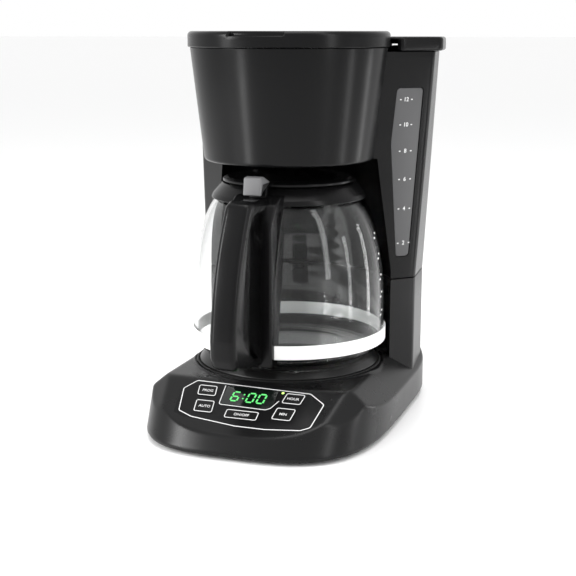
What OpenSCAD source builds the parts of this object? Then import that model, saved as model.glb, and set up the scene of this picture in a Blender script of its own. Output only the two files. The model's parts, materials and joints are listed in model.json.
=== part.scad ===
// Twelve-cup drip coffee maker: base with warming plate and key panel, water tank
// tower, hinged cover, lift-out brew basket and glass carafe.
// Millimetres. +Z is up and -Y is the front. The origin is the middle of the
// footprint at the height of the feet.

/* [Overall] */
// Width of the base at its widest
base_w = 194; // [190:1:245]
// Reach of the base in front of the plate axis
front_reach = 137; // [128:1:165]
// Reach of the tower behind the plate axis
rear_reach = 121; // [114:1:146]
// Height of the deck around the warming plate
deck_h = 45; // [42:1:54]
// Clear height between the deck and the brew head
bay_h = 166; // [164:1:200]
// Height of the brew head
head_h = 88.5; // [80:0.5:107]
// Wall of the moulded housings
wall = 2.6; // [2.2:0.1:3.2]

/* [Tower] */
// Width across the tower's front corners at the top
tower_w = 209.4; // [205:0.2:250]
// Width across the column's front corners
column_w = 189; // [180:1:200]
// Distance of the tower's front corners behind the plate axis, at the top
tower_corner = 61.4; // [56:0.2:66]
// Distance of the column's front corners behind the plate axis
column_corner = 49; // [45:1:54]
// Angle of the window faces, seen from above
facet_angle = 44; // [40:1:48]
// Height of the seam above the deck
seam_rise = 65; // [55:1:78]
// Gap between the carafe and the back of the bay
bay_gap = 6; // [4:0.5:8]
// Width of the level window at its foot
window_w = 12; // [9:0.5:14]
// Height of the level window
window_h = 138; // [110:1:150]

/* [Brew head] */
// Radius of the brew head at its rim
head_r = 78.4; // [76:0.2:86]
// Radius of the brew head at its foot
head_foot_r = 68; // [64:0.5:72]
// Radius of the front of the cover
cover_r = 80.2; // [78:0.2:90]
// Height of the cover's front rim
cover_h = 12.5; // [11:0.5:16]
// Width of the cover across its rear corners
cover_w = 221; // [216:1:262]

/* [Carafe] */
// Largest radius of the carafe glass
carafe_r = 78.7; // [66:0.1:80]
// Height of the carafe glass
glass_h = 132; // [120:1:134]
// Thickness of the glass
glass_t = 2.5; // [2:0.1:3]
// Radius of the carafe neck
neck_r = 56; // [50:0.5:60]
// Radius of the lid's flange
lid_r = 53.4; // [50:0.2:56]
// Height of the metal band
band_h = 11; // [8:0.5:14]
// Width of the handle's grip
grip_w = 21; // [16:0.5:26]
// Depth of the handle's grip
grip_d = 17; // [13:0.5:20]
// Width of the handle's saddle on the glass
saddle_w = 38; // [32:1:44]
// Clear depth between the saddle and the grip
finger_gap = 24; // [20:1:28]
// Turn of the handle away from straight ahead
handle_turn = 3; // [0:1:6]

/* [Warming plate] */
// Radius of the warming plate
plate_r = 74; // [62:0.5:75]
// Rise of the plate above the deck
plate_rise = 8; // [6:0.5:9]

/* [Control panel] */
// Slope of the panel, in degrees
panel_angle = 28.8; // [24:0.4:34]
// Width of the panel across its points
panel_w = 116; // [108:1:124]
// Height of the panel along its slope
panel_h = 40; // [36:1:42]
// Gap around each key
key_gap = 0.3; // [0.2:0.05:0.5]
// Travel of the keys
key_travel = 0.7; // [0.4:0.1:1]

/* [Fittings] */
// Clearance between seated pieces
fit = 0.3; // [0.2:0.05:0.5]
// Radius of the cover's hinge pins
pin_r = 1.6; // [1.2:0.1:2]
// Running clearance of the hinge pins, radial
pin_play = 0.05; // [0.03:0.01:0.08]
// Radius of the riser tube
riser_r = 6; // [5:0.5:7]
// Radius of the hole for the power cord
cord_r = 3.3; // [2.5:0.1:4]
// Radius of the screws' shanks
screw_r = 1.5; // [1.2:0.1:2]

/* [Hidden] */
$fn = 72;
slack = 0.02;
big = 600;
black = [0.07, 0.07, 0.075];
dark = [0.16, 0.16, 0.17];
hinge_r = 4;
hinge_back = 0.6;
plate_y = (front_reach - rear_reach - hinge_r - hinge_back) / 2;
head_z = deck_h + bay_h;
rim_z = head_z + head_h;
top_z = rim_z + cover_h;
seam_z = deck_h + seam_rise;
foot_h = 3;
bay_r = carafe_r + bay_gap;
panel_k = tan(panel_angle);
deck_front = 80;
tower_top = rim_z - 3.6;
plate_top = deck_h + plate_rise;
carafe_z = plate_top + fit;

// ---------- outlines ----------
function sign_of(v) = v < 0 ? -1 : 1;
function power(v, n) = sign_of(v) * pow(abs(v), 2 / n);
// Rounded plan outline of the base; the front reach is given, inset moves it inward
function base_outline(reach, inset) = [for (i = [0 : 71]) let (
    t = i * 5,
    front = sin(t) < 0,
    n = front ? front_power : rear_power,
    a = base_w / 2 - inset,
    b = (front ? reach : rear_reach + rear_bulge) - inset)
    [a * power(cos(t), n), min(rear_reach - inset, b * power(sin(t), n))]];
// Arc that rounds corner p between neighbours a and b
function unit(v) = v / norm(v);
function fillet(a, p, b, r, n = 6) = let (
    u = unit(a - p),
    v = unit(b - p),
    half = acos(u * v) / 2,
    d = r / tan(half),
    c = p + unit(u + v) * r / sin(half),
    s = p + u * d - c,
    e = p + v * d - c,
    turn = (180 - 2 * half) * sign_of(s[0] * e[1] - s[1] * e[0]))
    [for (i = [0 : n]) let (w = turn * i / n)
        c + [s[0] * cos(w) - s[1] * sin(w), s[0] * sin(w) + s[1] * cos(w)]];
function rounded(pts, radii) = let (n = len(pts)) [for (i = [0 : n - 1])
    each fillet(pts[(i + n - 1) % n], pts[i], pts[(i + 1) % n], radii[i])];
// Plan outline of the tower: two window faces, two sides and a flat back
function tower_outline(width, corner, inset) = let (
    c = cos(facet_angle),
    s = sin(facet_angle),
    w = width / 2 - inset,
    y = corner + inset * (1 - s) / c,
    x0 = w - 44,
    y0 = y - 44 * s / c,
    back = rear_reach - inset)
    rounded([[x0, y0], [w, y], [w - 4, back - 22], [w - 26, back],
        [26 - w, back], [4 - w, back - 22], [-w, y], [-x0, y0]],
        [1, 7, 16, 16, 16, 16, 7, 1]);

module at_plate() { translate([0, plate_y, 0]) children(); }
module below(point, tilt) {
    translate(point) rotate(tilt) translate([-big / 2, -big / 2, -big]) cube([big, big, big]);
}
module slab(pts, z, h = slack) { translate([0, 0, z]) linear_extrude(h) polygon(pts); }

// ---------- base ----------
front_power = 3.2;
rear_power = 6;
rear_bulge = 2;
rim_h = wall + 0.6;
skirt_lean = 25;
side_tilt = 40.4;
side_x = 77;
corner_tilt = 46;
corner_turn = -43.8;
// Outer form of the base, moved inward by inset
module base_form(inset) {
    lip = inset > 0 ? 1 : 0;
    intersection() {
        hull() {
            slab(base_outline(front_reach, inset), foot_h - lip, rim_h + lip);
            slab(base_outline(front_reach - skirt_lean, inset), deck_h - slack - inset);
        }
        below([0, -deck_front, deck_h - inset / cos(panel_angle)], [panel_angle, 0, 0]);
        for (m = [0, 1]) mirror([m, 0, 0]) {
            below_side(inset);
        }
    }
}
module below_side(inset) {
    intersection() {
        below([side_x, 0, deck_h - 0.5 - inset / cos(side_tilt)], [0, side_tilt, 0]);
        below([side_x - 1, -deck_front + 2, deck_h - 1 - inset / cos(corner_tilt)],
            [0, corner_tilt, corner_turn]);
    }
}
// Space for the carafe: a body of revolution round the plate axis, open to the front
module bay(inset, z0, z1) {
    r = bay_r + inset;
    taper_z = seam_z + 8;
    top_r = head_foot_r + 3.4 + inset;
    rotate_extrude($fn = 120) polygon([[0, z0], [r, z0], [r, taper_z],
        [top_r, head_z], [top_r, z1], [0, z1]]);
}
module column_form(inset, z0, z1) {
    difference() {
        slab(tower_outline(column_w, column_corner, inset), z0, z1 - z0);
        bay(inset, z0 - 1, z1 + 1);
    }
}
panel_mid = [0, -99.6, deck_h - panel_k * (99.6 - deck_front)];
module on_panel() { translate(panel_mid) rotate([panel_angle, 0, 0]) children(); }
module panel_shape(grow) {
    w = panel_w / 2 + grow;
    h = panel_h / 2 + grow;
    bow = 3.5;
    polygon([[-w + 11, h - 1], [w - 11, h - 1], [w, h - 10], [w - 3, 4 - h], [w - 12, -h],
        [0, -h - bow], [12 - w, -h], [3 - w, 4 - h], [-w, h - 10]]);
}
boss_spots = [[-70, -78], [70, -78], [-72, 22], [72, 22]];
boss_r = 4.5;
post_spots = [for (x = [-50.5, 50.5]) for (y = [-16.5, 14.5]) [x, y]];
post_r = 1.5;
panel_t = 1.2;
panel_ledge = 2.4;
module base_housing() {
    color(black) at_plate() difference() {
        union() {
            difference() {
                union() {
                    base_form(0);
                    column_form(0, deck_h - 24, seam_z - fit / 2);
                }
                base_form(wall);
                column_form(wall, foot_h - 1, seam_z + 1);
            }
            for (p = boss_spots) translate([p[0], p[1], foot_h + wall + fit])
                cylinder(r = boss_r, h = deck_h - foot_h - 2 * wall);
            for (p = rear_spots) if (p[1] < seam_z) rear_boss(p);
            for (p = post_spots) on_panel() translate([p[0], p[1], -board_drop - 0.8])
                cylinder(r = post_r, h = board_drop - 1.4);
        }
        for (p = boss_spots) translate([p[0], p[1], foot_h]) cylinder(r = screw_r, h = 14);
        translate([0, 0, deck_h - 10]) cylinder(r = plate_r - 8, h = 30, $fn = 120);
        on_panel() translate([0, 0, -panel_t]) linear_extrude(10) panel_shape(fit / 2);
        on_panel() translate([0, 0, -2 * panel_t - wall]) linear_extrude(20)
            panel_shape(-panel_ledge);
        rear_cut();
    }
}
foot_spots = [[-66, -88], [66, -88], [-72, 84], [72, 84]];
module bottom_cover() {
    color(dark) at_plate() difference() {
        slab(base_outline(front_reach, wall + fit), foot_h, wall);
        for (p = foot_spots) translate([p[0], p[1], foot_h - 1]) cylinder(r = 4, h = 9);
        for (p = boss_spots) translate([p[0], p[1], foot_h - 1]) {
            cylinder(r = screw_r + 0.2, h = 9);
            cylinder(r = 3.2, h = 2.4);
        }
        for (i = [-4 : 4]) translate([i * 8 - 1.5, 20, foot_h - 1]) cube([3, 34, 9]);
    }
}
module feet() {
    color([0.1, 0.1, 0.1]) at_plate() for (p = foot_spots) translate([p[0], p[1], 0]) {
        cylinder(r1 = 7.2, r2 = 8, h = foot_h, $fn = 48);
        translate([0, 0, foot_h - slack]) cylinder(r = 3.9, h = wall + 1.5);
    }
}
module screw(head_r0, length) {
    difference() {
        union() {
            cylinder(r = head_r0, h = 1.4);
            cylinder(r = screw_r - 0.05, h = length);
        }
        translate([-0.35, -1.6, -1]) cube([0.7, 3.2, 1.7]);
        translate([-1.6, -0.35, -1]) cube([3.2, 0.7, 1.7]);
    }
}
module bottom_screws() {
    color("silver") at_plate() for (p = boss_spots) translate([p[0], p[1], foot_h]) screw(3, 12);
}

// ---------- warming plate and heater ----------
plate_t = 1.6;
module warming_plate() {
    color([0.12, 0.12, 0.12]) at_plate() translate([0, 0, deck_h]) rotate_extrude($fn = 120)
        polygon([[0, plate_rise - plate_t], [plate_r - 7, plate_rise - plate_t],
            [plate_r - 2.2, 1.6], [plate_r - 2.2, 0.6], [plate_r, 0.6], [plate_r, 2],
            [plate_r - 5, plate_rise], [plate_r - 8, plate_rise], [plate_r - 9, plate_rise - 0.3],
            [0, plate_rise - 0.3]]);
}
module plate_seal() {
    color(dark) at_plate() translate([0, 0, deck_h]) rotate_extrude($fn = 120)
        polygon([[plate_r - 11, -wall - 1.5], [plate_r - 8.3, -wall - 1.5], [plate_r - 8.3, 0],
            [plate_r + 2.5, 0], [plate_r + 2.5, 0.6], [plate_r - 8.6, 0.6], [plate_r - 8.6, 1],
            [plate_r - 11, 1]]);
}
heater_r = 46;
heater_tube_r = 5;
heater_z = plate_top - plate_t - heater_tube_r - 0.2;
stub_x = 23;
stub_y = 40;
module heater_element() {
    color("silver") at_plate() translate([0, 0, heater_z]) {
        rotate([0, 0, 120]) rotate_extrude(angle = 300, $fn = 96)
            translate([heater_r, 0]) circle(r = heater_tube_r, $fn = 32);
        for (x = [-1, 1]) translate([x * stub_x, stub_y, -16]) difference() {
            cylinder(r = 4, h = 16);
            translate([0, 0, -1]) cylinder(r = 3, h = 12);
        }
    }
}
// Strap that holds the heater up against the underside of the plate
strap_t = 1.6;
strap_half = heater_r + heater_tube_r + 7;
module heater_bracket() {
    drop = heater_tube_r + strap_t + 0.4;
    rise = drop + heater_tube_r + 0.1;
    color("silver") at_plate() translate([0, 0, heater_z - drop]) difference() {
        union() {
            translate([-strap_half, -9, 0]) cube([2 * strap_half, 18, strap_t]);
            for (x = [-strap_half, strap_half - strap_t]) translate([x, -9, 0])
                cube([strap_t, 18, rise]);
        }
        translate([0, 0, -1]) cylinder(r = 8.2, h = 5);
    }
}
module thermostat() {
    color([0.25, 0.2, 0.15]) at_plate() translate([0, 0, heater_z - 12]) {
        cylinder(r = 8, h = 14);
        translate([0, 0, 14 - slack]) cylinder(r = 7, h = 2);
        for (x = [-1, 1]) translate([x * 4 - 0.4, -3, -6]) cube([0.8, 6, 6 + slack]);
    }
}
module thermal_fuses() {
    color("tan") at_plate() for (x = [-1, 1]) translate([x * 22, -12, heater_z - 3]) {
        rotate([90, 0, 0]) cylinder(r = 2.2, h = 12);
        rotate([-90, 0, 0]) translate([0, 0, -slack]) cylinder(r = 0.6, h = 6);
        translate([0, -12 + slack, 0]) rotate([90, 0, 0]) cylinder(r = 0.6, h = 6);
    }
}
// Silicone hoses: down from a heater end, back under the deck and up the column
hose_r = 6;
hose_bore = 4.2;
bend_r = 12;
low_z = heater_z - 28;
inlet_y = 96.5;
riser_y = rear_reach - wall - riser_r - 2.4;
tank_floor = seam_z + 12;
module elbow(start, r) {
    rotate([90, 0, 90]) rotate([0, 0, start]) rotate_extrude(angle = 90, $fn = 48)
        translate([bend_r, 0]) circle(r = r, $fn = 32);
}
module hose_run(x, back, top, r, over) {
    translate([x, 0, low_z]) {
        translate([0, stub_y, bend_r - slack]) cylinder(r = r, h = 10 + over);
        translate([0, stub_y + bend_r, bend_r]) elbow(180, r);
        translate([0, stub_y + bend_r - slack, 0]) rotate([-90, 0, 0])
            cylinder(r = r, h = back - stub_y - 2 * bend_r + 2 * slack);
        translate([0, back - bend_r, bend_r]) elbow(270, r);
        translate([0, back, bend_r - slack]) cylinder(r = r, h = top - low_z - bend_r + over);
    }
}
module hose(x, back, top) {
    color("white") at_plate() difference() {
        hose_run(x, back, top, hose_r, 0);
        hose_run(x, back, top, hose_bore, 1);
    }
}
valve_z = seam_z - 14;
riser_z = deck_h + 18;
module inlet_hose() { hose(-stub_x, inlet_y, valve_z + 7); }
module outlet_hose() { hose(stub_x, riser_y, riser_z); }
module clamp(x, y, z) {
    translate([x, y, z]) difference() {
        union() {
            cylinder(r = hose_r + 1.2, h = 5);
            translate([hose_r, -1.2, 0]) cube([5, 2.4, 5]);
        }
        translate([0, 0, -1]) cylinder(r = hose_r, h = 7);
    }
}
module hose_clamps() {
    color("silver") at_plate() {
        for (x = [-stub_x, stub_x]) clamp(x, stub_y, heater_z - 14);
        clamp(-stub_x, inlet_y, valve_z);
        clamp(stub_x, riser_y, riser_z - 7);
    }
}
ball_r = 4.2;
ball_travel = 1.4;
module check_valve_body() {
    color("white") at_plate() translate([-stub_x, inlet_y, valve_z]) rotate_extrude()
        polygon([[2.4, 0], [4, 0], [4, 8], [8, 8], [8, 24], [4.8, 24], [4.8, tank_floor - valve_z + 5],
            [3, tank_floor - valve_z + 5], [3, 10 + 2 * ball_r + ball_travel + 2.2],
            [ball_r + 0.4, 10 + 2 * ball_r + ball_travel + 0.4], [ball_r + 0.4, 10], [2.4, 10]]);
}
module check_ball() {
    color("silver") at_plate()
        translate([-stub_x, inlet_y, valve_z + 10 + ball_r + 0.05]) sphere(r = ball_r, $fn = 48);
}
module riser_tube() {
    color("white") at_plate() translate([stub_x, riser_y, 0]) difference() {
        union() {
            translate([0, 0, riser_z - 8]) cylinder(r = 4, h = 8 + slack);
            translate([0, 0, riser_z]) cylinder(r = riser_r, h = tower_top - 10 - riser_z);
        }
        translate([0, 0, riser_z - 9]) cylinder(r = 2.8, h = big);
    }
}
module riser_spout() {
    color(dark) at_plate() translate([stub_x, riser_y, tower_top - 10]) difference() {
        union() {
            cylinder(r = riser_r + 0.5, h = 4);
            cylinder(r = 4.5, h = 9);
        }
        translate([0, 0, -1]) cylinder(r = 2.8, h = 12);
    }
}

// ---------- tower ----------
module tower_form(inset, z0, z1) {
    function mix(a, b, f) = a + (b - a) * f;
    function at(z) = (z - seam_z) / (tower_top - seam_z);
    hull() for (z = [z0, z1]) slab(tower_outline(mix(column_w, tower_w, at(z)),
        mix(column_corner, tower_corner, at(z)), inset), z);
}
// Cone of the brew head, grown by a clearance
function head_at(z) = head_foot_r + (head_r - head_foot_r) * z / head_h;
module head_form(grow, z0 = 0, z1 = 0) {
    translate([0, 0, head_z + z0]) cylinder(r1 = head_at(z0) + grow,
        r2 = head_at(head_h + z1) + grow, h = head_h + z1 - z0, $fn = 120);
}
// Places its child on the right-hand window face; x runs outward along the face, y up
module on_facet() {
    translate([column_w / 2, column_corner, seam_z]) rotate([90, 0, facet_angle]) children();
}
window_z = 19;
window_lean = 0.086;
module window_shape(grow) {
    function edge(h) = window_lean * h - 8;
    belly = window_h * 0.7;
    offset(r = 3 + grow, $fn = 32) offset(delta = -3) polygon([
        [edge(window_z), window_z],
        [edge(window_z + window_h), window_z + window_h],
        [edge(window_z + window_h) - window_w - 9.5, window_z + window_h],
        [edge(window_z + belly) - window_w - 12.5, window_z + belly],
        [edge(window_z) - window_w, window_z]]);
}
rear_w = column_w - 56;
rear_z0 = foot_h + wall + 4;
rear_z1 = tower_top - 16;
rear_spots = [for (x = [-1, 1]) for (z = [rear_z0 + 12, seam_z + 12, rear_z1 - 12])
    [x * (rear_w / 2 - 6), z]];
module rear_opening(lip, grow) {
    translate([-rear_w / 2 + lip - grow, rear_reach - wall - 9, rear_z0 + lip - grow])
        cube([rear_w - 2 * lip + 2 * grow, wall + 20, rear_z1 - rear_z0 - 2 * lip + 2 * grow]);
}
// Boss behind a screw of the rear cover
module rear_boss(p) {
    translate([p[0], rear_reach - wall / 2, p[1]]) rotate([90, 0, 0]) cylinder(r = 4, h = 10);
}
module rear_cut() {
    rear_opening(12, 0);
    intersection() {
        rear_opening(0, fit);
        translate([-big / 2, rear_reach - 1.4, 0]) cube([big, 40, big]);
    }
    for (p = rear_spots) translate([p[0], rear_reach + 1, p[1]]) rotate([90, 0, 0])
        cylinder(r = screw_r + 0.1, h = 14);
}
hinge_z = tower_top + fit / 2;
hinge_y = rear_reach + hinge_back;
knuckle_x = 40;
lug_x = 54;
lug_w = 8;
tab_t = 2.6;
module hinge_rod(r, x0, x1) {
    for (m = [0, 1]) mirror([m, 0, 0]) translate([x0, hinge_y, hinge_z]) rotate([0, 90, 0])
        cylinder(r = r, h = x1 - x0, $fn = 48);
}
module tower_housing() {
    color(black) at_plate() difference() {
        union() {
            difference() {
                tower_form(0, seam_z + fit / 2, tower_top);
                bay(0, seam_z - 1, head_z);
                difference() {
                    tower_form(wall, seam_z - 6, tower_top + 4);
                    bay(wall, seam_z - 2, head_z + wall);
                }
                head_form(fit, -2, 40);
            }
            for (a = head_angles) rotate([0, 0, a])
                translate([head_foot_r - 15, -6, head_z - tab_t - 0.1]) cube([20.2, 12, tab_t]);
            for (p = rear_spots) if (p[1] > seam_z) rear_boss(p);
            hinge_rod(hinge_r, lug_x, lug_x + lug_w);
            for (x = [-lug_x - lug_w, lug_x]) translate([x, rear_reach - 2, hinge_z - 9])
                cube([lug_w, 4, 9]);
        }
        for (p = head_spots) translate([p[0], p[1], head_z - 9]) cylinder(r = screw_r + 0.1, h = 12);
        on_facet() translate([0, 0, -14]) linear_extrude(30) window_shape(0);
        rear_cut();
        hinge_rod(hinge_r + fit, knuckle_x - fit, lug_x);
        hinge_rod(pin_r + pin_play, knuckle_x - 10, lug_x + lug_w - 1);
    }
}
module rear_cover() {
    color(black) at_plate() difference() {
        intersection() {
            rear_opening(0, 0);
            translate([-big / 2, rear_reach - 1.4, 0]) cube([big, 1.4, big]);
        }
        for (p = rear_spots) translate([p[0], rear_reach + 1, p[1]]) rotate([90, 0, 0])
            cylinder(r = screw_r + 0.2, h = 14);
        for (i = [-5 : 5]) translate([i * 9 - 1.5, rear_reach - 10, deck_h + 20]) cube([3, 20, 26]);
        translate([0, rear_reach + 1, cord_z]) rotate([90, 0, 0]) cylinder(r = 6, h = 20);
    }
}
cord_z = deck_h - 12;
module cord_gland() {
    color(dark) at_plate() translate([0, rear_reach, cord_z]) rotate([90, 0, 0]) difference() {
        union() {
            translate([0, 0, -2]) cylinder(r = 9, h = 2 - fit / 3);
            translate([0, 0, -1]) cylinder(r = 5.8, h = 9);
            translate([0, 0, 1.5]) cylinder(r = 8.5, h = 2);
        }
        translate([0, 0, -5]) cylinder(r = cord_r, h = 20);
    }
}
module rear_screws() {
    color("silver") at_plate() for (p = rear_spots) translate([p[0], rear_reach + 1.4, p[1]])
        rotate([90, 0, 0]) screw(3, 9);
}
tank_gap = 1.2;
tank_back = 13;
// Body of the tank, moved inward by inset; its back is grooved for the riser tube
module tank_form(inset, z0) {
    difference() {
        intersection() {
            tower_form(wall + tank_gap + inset, z0, tower_top - 4);
            translate([-big / 2, -big, 0])
                cube([big, big + rear_reach - tank_back - inset, big]);
        }
        bay(wall + tank_gap + inset, z0 - 1, head_z + wall + tank_gap + inset);
        head_form(1.5 + inset, -20, 40);
        translate([stub_x, riser_y, z0 - 1]) cylinder(r = riser_r + tank_gap + inset, h = big);
    }
}
module water_tank() {
    color([0.3, 0.3, 0.32]) at_plate() difference() {
        tank_form(0, tank_floor);
        tank_form(2, tank_floor + 2.5);
        translate([-stub_x, inlet_y, tank_floor - 5]) cylinder(r = 7, h = 20);
    }
}
module tank_grommet() {
    color(dark) at_plate() translate([-stub_x, inlet_y, tank_floor]) rotate_extrude()
        polygon([[4.9, -2], [8.5, -2], [8.5, -fit / 3], [6.9, -fit / 3], [6.9, 2.6], [8.5, 2.6],
            [8.5, 4], [4.9, 4]]);
}
module level_window() {
    color([0.45, 0.45, 0.47]) at_plate() intersection() {
        difference() {
            tower_form(0.2, seam_z + 4, tower_top - 4);
            tower_form(wall - 0.2, seam_z + 3, tower_top - 3);
        }
        on_facet() translate([0, 0, -14]) linear_extrude(30) window_shape(-0.15);
    }
}

// ---------- brew head ----------
outlet_r = 17;
head_angles = [40, 140];
head_spots = [for (a = head_angles) [(head_foot_r - 9) * cos(a), (head_foot_r - 9) * sin(a)]];
module brew_head() {
    color(black) at_plate() difference() {
        union() {
            difference() {
                head_form(0);
                head_form(-wall, wall, 1);
            }
            translate([0, 0, head_z - 2]) cylinder(r1 = outlet_r + 1.5, r2 = outlet_r + 3, h = 3);
            for (p = head_spots) translate([p[0], p[1], head_z + 1]) cylinder(r = 4, h = 8);
            translate([0, 0, head_z + 1]) difference() {
                cylinder(r = 28, h = basket_floor_z - head_z - 1.05);
                translate([0, 0, -1]) cylinder(r = 25, h = 20);
            }
        }
        translate([0, 0, head_z - 4]) cylinder(r = outlet_r, h = 20);
        for (p = head_spots) translate([p[0], p[1], head_z - 1]) cylinder(r = screw_r, h = 8.5);
    }
}
module head_screws() {
    color("silver") at_plate() for (p = head_spots)
        translate([p[0], p[1], head_z - tab_t - 1.5]) screw(3, 10);
}
basket_rim_z = rim_z - 18;
basket_floor_z = head_z + 6;
basket_top_r = head_r - 9;
basket_low_r = 44;
bail_rise = 1.8;
wire_r = 1.1;
ear_x = basket_top_r - 5.8;
ear_t = 2.6;
module brew_basket() {
    color(dark) at_plate() difference() {
        union() {
            basket_wall();
            for (x = [ear_x, -ear_x - ear_t]) translate([x, -3, basket_rim_z - 1])
                cube([ear_t, 6, bail_rise + 3.4]);
        }
        for (i = [0 : 11]) rotate([0, 0, i * 30]) translate([basket_low_r - 12, -0.8, basket_floor_z - 1])
            cube([8, 1.6, 8]);
        translate([-big / 2, 0, basket_rim_z + bail_rise]) rotate([0, 90, 0])
            cylinder(r = wire_r + pin_play, h = big);
    }
}
module basket_wall() {
    rotate_extrude($fn = 96) polygon([[8, basket_floor_z - 7], [outlet_r - 1.2, basket_floor_z - 7],
            [outlet_r - 1.2, basket_floor_z], [basket_low_r, basket_floor_z],
            [basket_top_r - 4, basket_rim_z - 3], [basket_top_r, basket_rim_z - 3],
            [basket_top_r, basket_rim_z], [basket_top_r - 6, basket_rim_z],
            [basket_low_r - 1.5, basket_floor_z + 2], [outlet_r - 3.5, basket_floor_z + 1],
            [outlet_r - 3.5, basket_floor_z - 5], [8, basket_floor_z - 5]]);
}
// Wire handle that swings in two ears on the basket's rim
module basket_bail() {
    color("silver") at_plate() translate([0, 0, basket_rim_z + bail_rise]) {
        rotate_extrude(angle = 180, $fn = 96) translate([basket_top_r - 1.5, 0])
            circle(r = wire_r, $fn = 20);
        for (m = [0, 1]) mirror([m, 0, 0]) translate([ear_x - 1, 0, 0]) rotate([0, 90, 0])
            cylinder(r = wire_r, h = basket_top_r - 1.5 - ear_x + 1.8);
    }
}
module drip_valve() {
    color(dark) at_plate() translate([0, 0, basket_floor_z]) rotate_extrude() polygon([[0, -10.2],
        [3, -10.2], [4.5, -9], [4.5, -7.6], [2.6, -7.6], [2.6, -0.4], [7.4, -0.4], [7.4, 1.2],
        [3, 1.2], [3, 4], [0, 4]]);
}
module valve_seal() {
    color("darkred") at_plate() translate([0, 0, basket_floor_z]) rotate_extrude()
        polygon([[2.7, -1.9], [11, -1.9], [11, -0.45], [2.7, -0.45]]);
}
module valve_spring() {
    color("silver") at_plate() translate([0, 0, basket_floor_z + 1.25]) linear_extrude(6.2)
        difference() {
            circle(r = 6.4, $fn = 32);
            circle(r = 5, $fn = 32);
        }
}
module valve_retainer() {
    color(dark) at_plate() translate([0, 0, basket_floor_z + 7.5]) difference() {
        union() {
            cylinder(r = 9, h = 2);
            for (a = [0 : 3]) rotate([0, 0, a * 90]) {
                translate([6, -1.6, 0]) cube([13, 3.2, 2]);
                translate([16.4, -1.6, -6.1]) cube([2.6, 3.2, 6.2]);
            }
        }
        translate([0, 0, -1]) cylinder(r = 4, h = 5);
    }
}

// ---------- cover ----------
cap_drop = 4.5;
skin = 2.2;
lid_z = tower_top + fit;
function cap_outline(inset) = let (
    c = cos(facet_angle),
    s = sin(facet_angle),
    w = cover_w / 2 - inset,
    y = tower_corner + 2 + inset * (1 - s) / c,
    x0 = w - 28,
    y0 = y - 28 * s / c,
    back = rear_reach - fit - inset)
    rounded([[x0 - 20, y0 + 10], [x0, y0], [w, y], [w - 5, back - 20], [w - 26, back],
        [26 - w, back], [5 - w, back - 20], [-w, y], [-x0, y0], [20 - x0, y0 + 10]],
        [2, 3, 8, 14, 14, 14, 14, 8, 3, 2]);
module cover_disc(inset) {
    r = cover_r - inset;
    h = cover_h - inset;
    translate([0, 0, rim_z + fit]) rotate_extrude($fn = 120) polygon(concat([[0, -slack],
        [r - 1.6, -slack]], [for (i = [0 : 6]) let (a = i * 15)
        [r - 4 + 4 * cos(a), h - fit - 4 + 4 * sin(a)]], [[0, h - fit]]));
}
module cover() {
    color(black) at_plate() difference() {
        union() {
            difference() {
                union() {
                    cover_disc(0);
                    slab(cap_outline(0), lid_z, top_z - cap_drop - lid_z);
                }
                cover_disc(skin);
                slab(cap_outline(skin), lid_z - 1, top_z - cap_drop - skin - lid_z + 1);
                translate([0, 0, rim_z - 20]) cylinder(r = cover_r - skin, h = 20 + 2 * fit);
            }
            intersection() {
                hinge_rod(hinge_r, knuckle_x, lug_x - fit);
                translate([-big / 2, rear_reach - 8, 0]) cube([big, 40, big]);
            }
        }
        hinge_rod(hinge_r + fit, lug_x - fit, lug_x + lug_w + fit);
        hinge_rod(pin_r + pin_play, knuckle_x - 10, lug_x + lug_w);
        translate([-20, -cover_r - 5, top_z - 5]) cube([40, 9, 10]);
    }
}
channel_z = rim_z + 1;
channel_h = top_z - cap_drop - skin - channel_z - 0.1;
module water_channel() {
    color(dark) at_plate() difference() {
        union() {
            hull() {
                translate([stub_x, riser_y, channel_z]) cylinder(r = 8, h = channel_h, $fn = 32);
                translate([0, 24, channel_z]) cylinder(r = 8, h = channel_h, $fn = 32);
            }
            translate([0, 0, channel_z]) cylinder(r = 33, h = channel_h);
        }
        hull() {
            translate([stub_x, riser_y, channel_z + 1.5])
                cylinder(r = 6, h = channel_h - 3, $fn = 32);
            translate([0, 24, channel_z + 1.5]) cylinder(r = 6, h = channel_h - 3, $fn = 32);
        }
        translate([0, 0, channel_z - 1]) cylinder(r = 27, h = channel_h - 0.5);
        translate([stub_x, riser_y, channel_z - 1]) cylinder(r = 5.4, h = 4);
        for (p = cap_spots) translate([p[0], p[1], channel_z - 1]) cylinder(r = screw_r, h = 20);
    }
}
cap_spots = [[-30, 0], [30, 0]];
module shower_head() {
    color("silver") at_plate() translate([0, 0, channel_z - 3]) difference() {
        union() {
            cylinder(r = 35, h = 1.4, $fn = 96);
            cylinder(r = 26.7, h = 4.5);
        }
        translate([0, 0, 1.4]) cylinder(r = 25.2, h = 9);
        for (ring = [1 : 3]) for (i = [0 : ring * 6 - 1]) rotate([0, 0, i * 60 / ring])
            translate([ring * 7.5, 0, -1]) cylinder(r = 1, h = 5, $fn = 16);
        for (p = cap_spots) translate([p[0], p[1], -1]) cylinder(r = screw_r + 0.1, h = 9);
    }
}
module cover_screws() {
    color("silver") at_plate() for (p = cap_spots) translate([p[0], p[1], channel_z - 4.4])
        screw(2.8, 4.4 + channel_h - 0.5);
}
module hinge_pins() {
    color("silver") at_plate() hinge_rod(pin_r, knuckle_x - 6, lug_x + lug_w - 1.5);
}

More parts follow.
